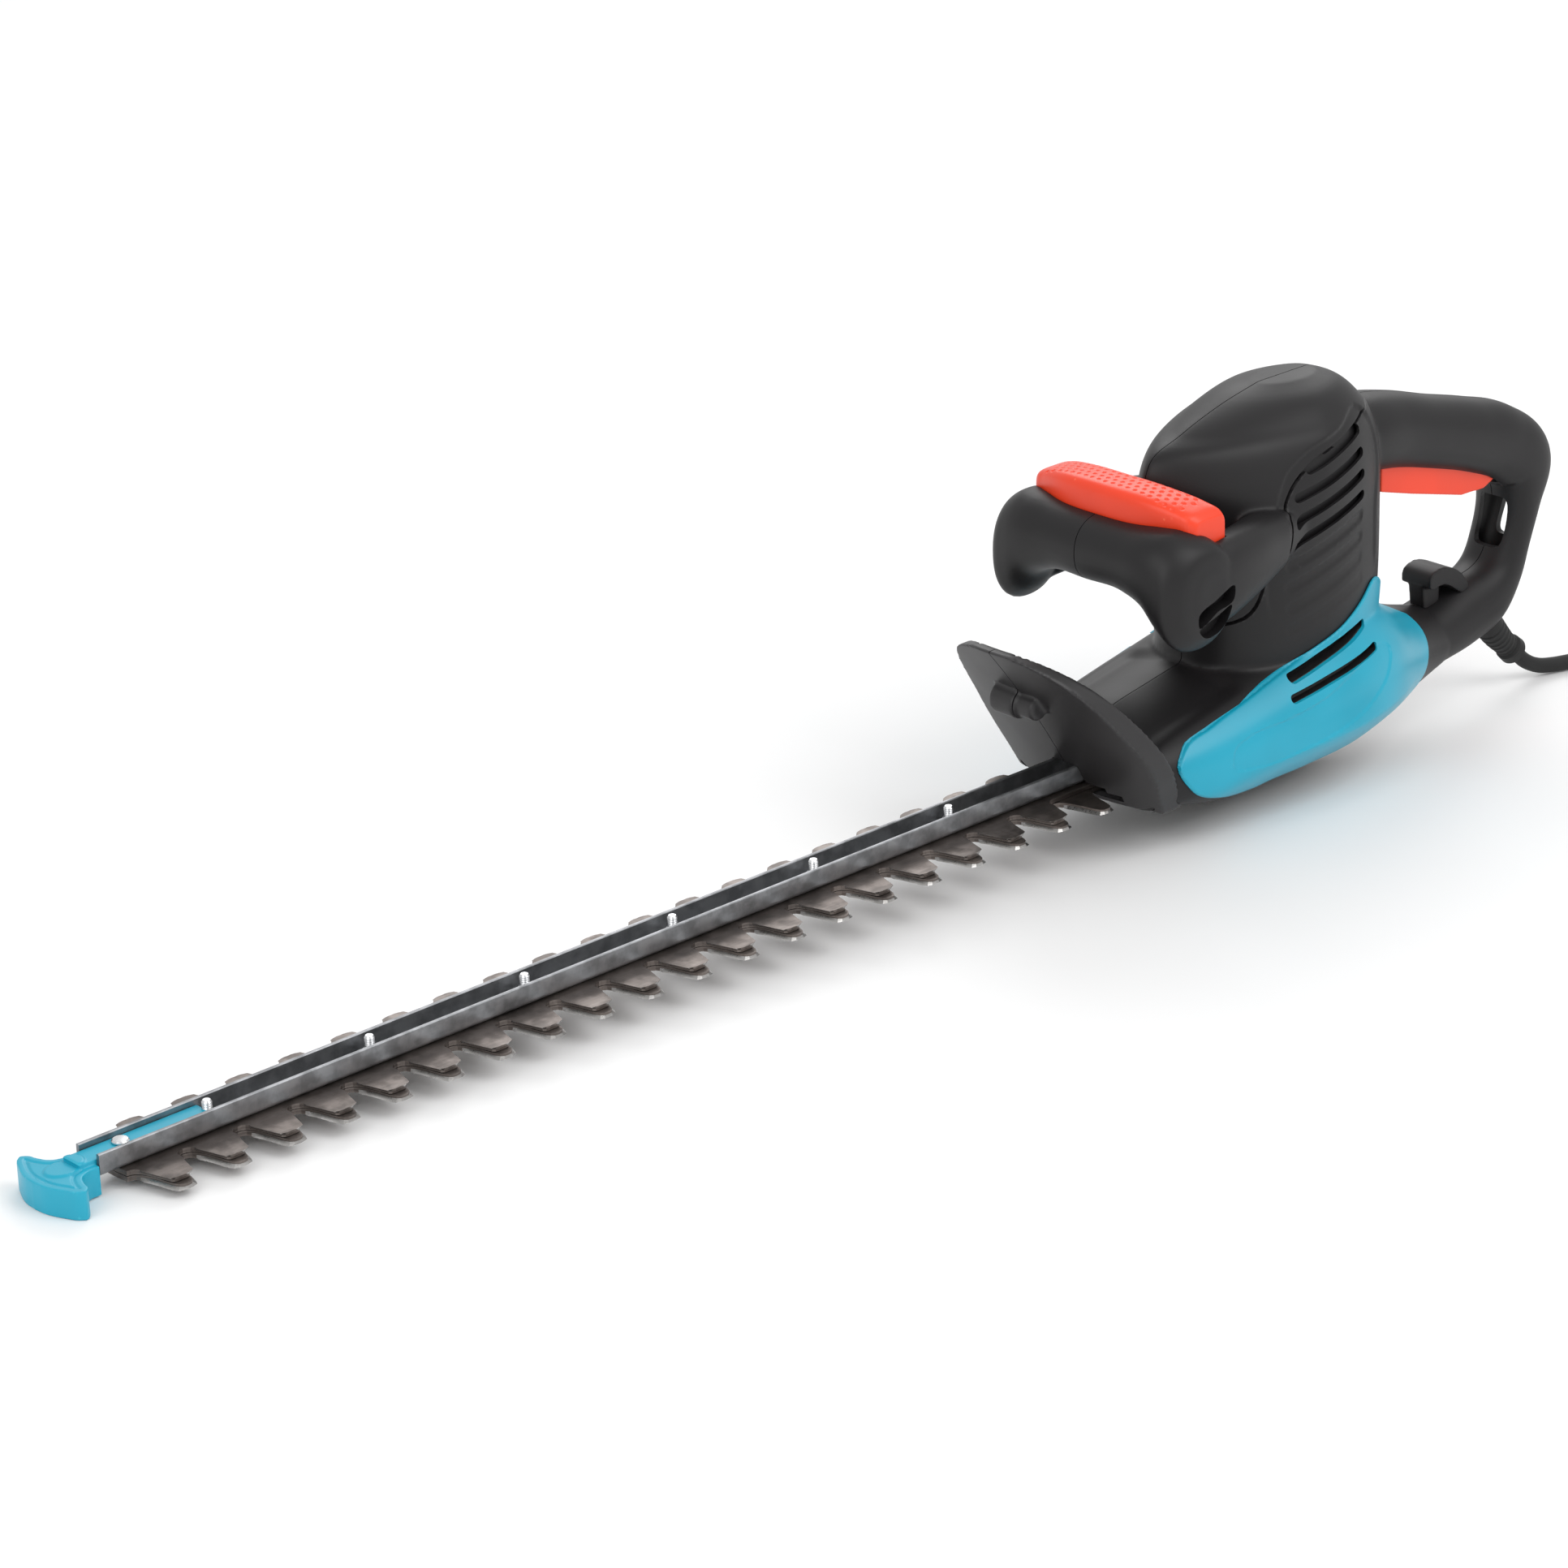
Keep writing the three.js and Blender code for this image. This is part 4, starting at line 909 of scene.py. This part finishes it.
bpy.data.objects.remove(guard)

# ---- blades ----------------------------------------------------------------------------
TEETH = 20
PITCH = 25
GEAR_X = -570
STROKE = 8
LOWER_FLANK = [
    (12.5, 8.9), (10.4, 9.4), (8.4, 11.2), (6.8, 14.2), (5.5, 18.5), (4.4, 23.5), (3.5, 26.6),
    (2.2, 28.5), (0, 29),
]
UPPER_FLANK = [
    (12.5, 8.9), (10.4, 9.4), (8.4, 11.2), (7.0, 14.2), (5.6, 18.5), (4.4, 23), (3.7, 25),
    (2.6, 25.5), (0, 25.5),
]
YOKE_X, YOKE_Y, YOKE_WALL = 16, 22.6, 5


def tooth_line(flank):
    """One tooth from the middle of a gullet to the middle of the next, with how much of it is ground."""
    half = through(flank, 16)
    reach = flank[-1][1]
    ground = fade(half[:, 1], 10.5, 13) * (1 - 0.75 * fade(half[:, 1], reach - 1.5, reach))
    u = np.r_[half[:, 0], -half[-2::-1, 0]]
    v = np.r_[half[:, 1], half[-2::-1, 1]]
    return np.c_[u, v, np.r_[ground, ground[-2::-1]]]


def blade(flank, near_teeth, far_teeth, low, bevel_up):
    tooth = tooth_line(flank)
    line = [(13, -4, 0), (13, 4, 0)]
    for k in range(near_teeth):
        line += [(u - k * PITCH, v, g) for u, v, g in tooth[(0 if k == 0 else 1):]]
    back = GEAR_X + YOKE_X + YOKE_WALL
    line += [(back, 9.5, 0), (back, -9.5, 0)]
    for k in range(far_teeth - 1, -1, -1):
        skipped = 0 if k == far_teeth - 1 else 1
        line += [(u - (k + 0.5) * PITCH, -v, g) for u, v, g in tooth[::-1][skipped:]]
    line += [(2, -9.2, 0)]
    rows = np.array(line)
    ahead = np.roll(rows, -1, axis=0)[:, :2] - np.roll(rows, 1, axis=0)[:, :2]
    ahead /= np.linalg.norm(ahead, axis=1)[:, None]
    inwards = np.c_[ahead[:, 1], -ahead[:, 0]]
    narrow = rows[:, :2] + inwards * rows[:, 2:] * 1.5
    levels = [(narrow, low), (rows[:, :2], low + 1.1), (rows[:, :2], low + PLATE)]
    if bevel_up:
        levels = [(rows[:, :2], low), (rows[:, :2], low + PLATE - 1.1), (narrow, low + PLATE)]
    n = len(rows)
    verts = np.vstack([np.c_[xy, np.full(n, z)] for xy, z in levels])
    faces = [list(range(n))[::-1], list(range(2 * n, 3 * n))]
    faces += [[b + j, b + (j + 1) % n, b + n + (j + 1) % n, b + n + j] for b in (0, n) for j in range(n)]
    plate = solid(outward(verts, faces))
    triangles = plate.modifiers.new("triangles", "TRIANGULATE")
    triangles.min_vertices = 5
    plate = settled(plate)
    yoke_half = YOKE_Y + YOKE_WALL
    yoke = block(GEAR_X - YOKE_X - YOKE_WALL, back + 1, -yoke_half, yoke_half, low, low + PLATE)
    plate = combined(plate, solid(yoke), "UNION")
    plate = cut(plate, block(GEAR_X - YOKE_X, GEAR_X + YOKE_X, -YOKE_Y, YOKE_Y, low - 1, low + PLATE + 1))
    for i in range(BOLTS):
        x = BOLT_FIRST - i * BOLT_STEP
        bolt_way = slot_outline((x - STROKE, 0), (x + STROKE, 0), 5.6)
        plate = cut(plate, prism(bolt_way, low - 1, low + PLATE + 1, "z"))
    return plate


def ground_faces(plate):
    """Gives the ground bevels, the faces that slope, their own finish."""
    plate.data.materials.append(ground_edge)
    for face in plate.data.polygons:
        if 0.25 < abs(face.normal.z) < 0.93:
            face.material_index = 1


BOLTS = 6
BOLT_FIRST = -31
BOLT_STEP = 76
for name, body, flank, near_teeth, low, bevel_up in (
    ("lower", "lower_cutter", LOWER_FLANK, TEETH, -PLATE, False),
    ("upper", "upper_cutter", UPPER_FLANK, TEETH - 1, UPPER_Z, True),
):
    plate = blade(flank, near_teeth, TEETH - 1, low, bevel_up)
    piece(plate, f"{name}_blade_plate", body, blade_dark, [f"{name}_blade"], sharp=12)
    ground_faces(plate)

# ---- guide rail, bolts and tip ---------------------------------------------------------
RAIL_HALF, RAIL_FLOOR, RAIL_TOP, RAIL_SHEET = 7, 2.6, 11.7, 1.6
RAIL_BACK, RAIL_FRONT = -500, 22.5


def bend(cy, cz, radius, first, last):
    angles = np.radians(np.linspace(first, last, 8))
    return [(cy + radius * math.cos(a), cz + radius * math.sin(a)) for a in angles]


outer_bend, inner_bend, lip = 2.4, 0.8, 0.35
section = [(RAIL_HALF, RAIL_TOP - lip), (RAIL_HALF - lip, RAIL_TOP)]
section += [(RAIL_HALF - RAIL_SHEET + lip, RAIL_TOP), (RAIL_HALF - RAIL_SHEET, RAIL_TOP - lip)]
inner_y = RAIL_HALF - RAIL_SHEET - inner_bend
section += bend(inner_y, RAIL_FLOOR + RAIL_SHEET + inner_bend, inner_bend, 0, -90)
section += [(-y, z) for y, z in section[::-1]]
section += bend(outer_bend - RAIL_HALF, RAIL_FLOOR + outer_bend, outer_bend, 180, 270)
section += bend(RAIL_HALF - outer_bend, RAIL_FLOOR + outer_bend, outer_bend, 270, 360)
rail = solid(prism(section, RAIL_BACK, RAIL_FRONT, "x"))
piece(rail, "channel_rail", "casing", rail_grey, ["guide_rail"], sharp=40)


def hex_prism(radius, low, high, x, chamfer=0.5):
    """A hexagonal head or nut with its corners turned off at the top."""
    angle = np.radians(np.arange(6) * 60 + 30)
    rings = []
    for r, z in ((radius, low), (radius, high - chamfer), (radius - chamfer, high)):
        rings.append(np.c_[x + r * np.cos(angle), r * np.sin(angle), np.full(6, z)])
    return lofted(rings)


STUD_R = 2.1
for i in range(BOLTS):
    x = BOLT_FIRST - i * BOLT_STEP
    nut = RAIL_FLOOR + RAIL_SHEET + GAP
    end = nut + 8.2
    thread = [(STUD_R - 0.18 * (k % 2), nut + 2.5 + 0.3 * k) for k in range(18)]
    stud = [(0, -3.5), (STUD_R, -3.5), (STUD_R, nut + 2.4), *thread, (1.5, end), (0, end)]
    washer = [(0, nut - 0.25), (4.4, nut - 0.25), (4.4, nut + 0.5), (4.1, nut + 0.7), (0, nut + 0.7)]
    bolt = solid(lathe(stud, x, 0, 24))
    hex_nut = hex_prism(3.6, nut + 0.6, nut + 2.7, x)
    hex_head = hex_prism(4.4, -4.4, -PLATE - GAP, x)
    for skin in (lathe(washer, x, 0, 32), hex_nut, hex_head):
        bolt = combined(bolt, solid(skin), "UNION")
    piece(bolt, f"bolt_{i + 1}", "casing", zinc_plate, [f"blade_bolt_{i + 1}"])

TIP = [
    (47, 0), (46.4, 6), (43.6, 13.5), (40.2, 19), (38.2, 20.2), (36.2, 19), (34.4, 14),
    (32.2, 10), (28, 8), (22.8, 7.6),
]
tip_line = [(x, y) for x, y in through(TIP, 60)]
tip_line = tip_line + [(x, -y) for x, y in tip_line[:0:-1]]
TONGUE_HALF, TONGUE_LOW = 5.1, RAIL_FLOOR + RAIL_SHEET + GAP
tongue = block(-30, 30, -TONGUE_HALF, TONGUE_HALF, TONGUE_LOW, 9.4)
tip = solid(prism(tip_line, -3.9, 7.6, "z"))
tip = combined(tip, solid(tongue), "UNION")
tip = cut(tip, block(20, 27, -6, 6, -5, RAIL_FLOOR))
melt = tip.modifiers.new("melt", "REMESH")
melt.mode = "VOXEL"
melt.voxel_size = 0.42
ease = tip.modifiers.new("ease", "SMOOTH")
ease.iterations = 6
tip = settled(tip)
at = points_of(tip)
boss = np.hypot((at[:, 0] - 33) / 8.5, at[:, 1] / 6.2)
groove = np.abs(depth_inside(at[:, :2], tip_line) - 3.2)
top = fade(normals_of(tip)[:, 2], 0.5, 0.8)
wing = fade(at[:, 0], 28, 30)
line_deep = 0.45 * wing * (1 - fade(groove, 0.4, 0.9))
boss_high = 0.7 * (1 - fade(boss, 0.88, 1.02))
tip = sunk(tip, top * (line_deep - boss_high))
tip = cut(tip, below_floor)
tip = cut(tip, lathe([(0, 0), (2.3, 0), (2.3, 14), (0, 14)], 8, 0, 32))
piece(tip, "tip_moulding", "casing", cover_teal, ["tip_guard"])
RIVET = [
    (0, 2.5), (1.9, 2.5), (1.9, 9.7), (3.4, 9.7), (3.4, 10.2), (2.8, 10.8), (1.2, 10.9), (0, 10.9),
]
rivet = lathe(RIVET, 8, 0, 40)
piece(solid(rivet), "tip_fixing", "casing", zinc_plate, ["tip_rivet"])

# ---- rear fittings ---------------------------------------------------------------------
hook_stem = prism([(-713, 12), (-704, 12), (-702, 30), (-714, 30)], -4.4, 4.4)
HOOK_HEAD = [
    (-702.5, 30), (-703, 35), (-709, 37.5), (-717, 36), (-725, 30.5), (-729, 23), (-727.5, 19.5),
    (-722, 23.5), (-713, 29),
]
hook_head = prism(through(HOOK_HEAD, 72, closed=True), -8.5, 8.5)
hook = fused([hook_stem, hook_head], 0.5, 14)
hook = combined(hook, fused([handle_skin(GAP), body_skin(GAP)], 1.3, 6), "DIFFERENCE")
piece(hook, "cord_hook", "casing", casing_black, ["cable_hook"])

# Strain relief, with a lip at its mouth: (x, z, radius).
RELIEF = [
    (-748, 4, 6.6), (-755, -5.5, 6.8), (-762, -13, 6), (-766.8, -17.3, 5.3), (-767.4, -17.9, 6.4),
    (-770.6, -20.7, 6.6), (-771, -21, 6.1),
]
sleeve_rows = through(RELIEF[:4], 60, ruler=slice(0, 2))
grooved = (np.sin(np.linspace(0, 18 * np.pi, 60)) > 0) * (np.linspace(0, 1, 60) > 0.35)
sleeve_rows[:, 2] -= 0.45 * grooved
sleeve = solid(tube(np.vstack([sleeve_rows, RELIEF[4:]]), 48))
sleeve = combined(sleeve, fused([handle_skin(GAP)], 1.3, 6), "DIFFERENCE")
piece(sleeve, "strain_relief", "casing", soft_rubber, ["cord_sleeve"])

# ---- inner pieces ----------------------------------------------------------------------
INNER = {
    "drive_gear": machine_steel,
    "upper_eccentric": machine_steel,
    "lower_eccentric": machine_steel,
    "gear_axle": machine_steel,
    "gear_case": cast_alloy,
    "gear_cover": cast_alloy,
    "motor_shaft": machine_steel,
    "motor_pinion": machine_steel,
    "lower_bearing": machine_steel,
    "upper_bearing": machine_steel,
    "cooling_fan": inner_black,
    "armature_core": machine_steel,
    "armature_winding_lower": winding_copper,
    "armature_winding_upper": winding_copper,
    "commutator": winding_copper,
    "stator_core": machine_steel,
    "field_coil_left": winding_copper,
    "field_coil_right": winding_copper,
    "brush_holder_left": contact_brass,
    "brush_holder_right": contact_brass,
    "carbon_brush_left": brush_carbon,
    "carbon_brush_right": brush_carbon,
    "bearing_carrier": inner_black,
    "capacitor": inner_black,
    "front_switch": inner_black,
    "rear_switch": inner_black,
    "switch_bar_spring_left": zinc_plate,
    "switch_bar_spring_right": zinc_plate,
    "trigger_spring": zinc_plate,
}
for name, look in INNER.items():
    inner_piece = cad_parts[name]
    for held in inner_piece.material_slots:
        held.material = look

# ---- floor and lights ------------------------------------------------------------------
floor_material, _, floor_shader = fresh("pale_floor", roughness=0.6)
floor_shader.inputs["Base Color"].default_value = (0.92, 0.92, 0.92, 1)
floor = solid((np.array([(-8, -8, 0), (8, -8, 0), (8, 8, 0), (-8, 8, 0)]), [[0, 1, 2, 3]]), "floor")
floor.location.z = -0.0002
floor.data.materials.append(floor_material)

world = bpy.data.worlds.new("studio")
bpy.context.scene.world = world
world.use_nodes = True
world.node_tree.nodes["Background"].inputs["Color"].default_value = (1, 1, 1, 1)
world.node_tree.nodes["Background"].inputs["Strength"].default_value = 0.75


def softbox(name, place, target, size, power):
    data = bpy.data.lights.new(name, "AREA")
    data.shape = "RECTANGLE"
    data.size, data.size_y = size
    data.energy = power
    light = bpy.data.objects.new(name, data)
    light.location = place
    light.rotation_euler = (Vector(target) - Vector(place)).to_track_quat("-Z", "Y").to_euler()
    bpy.context.scene.collection.objects.link(light)


MIDDLE = (-0.1, 0, 0.06)
softbox("key", (-0.6, 1.6, 1.9), MIDDLE, (1.6, 1.6), 22)
softbox("front", (1.9, 0.6, 1.2), MIDDLE, (1.4, 1.4), 12)
softbox("back_edge", (-1.6, -1.4, 1.5), MIDDLE, (1.6, 1.0), 14)
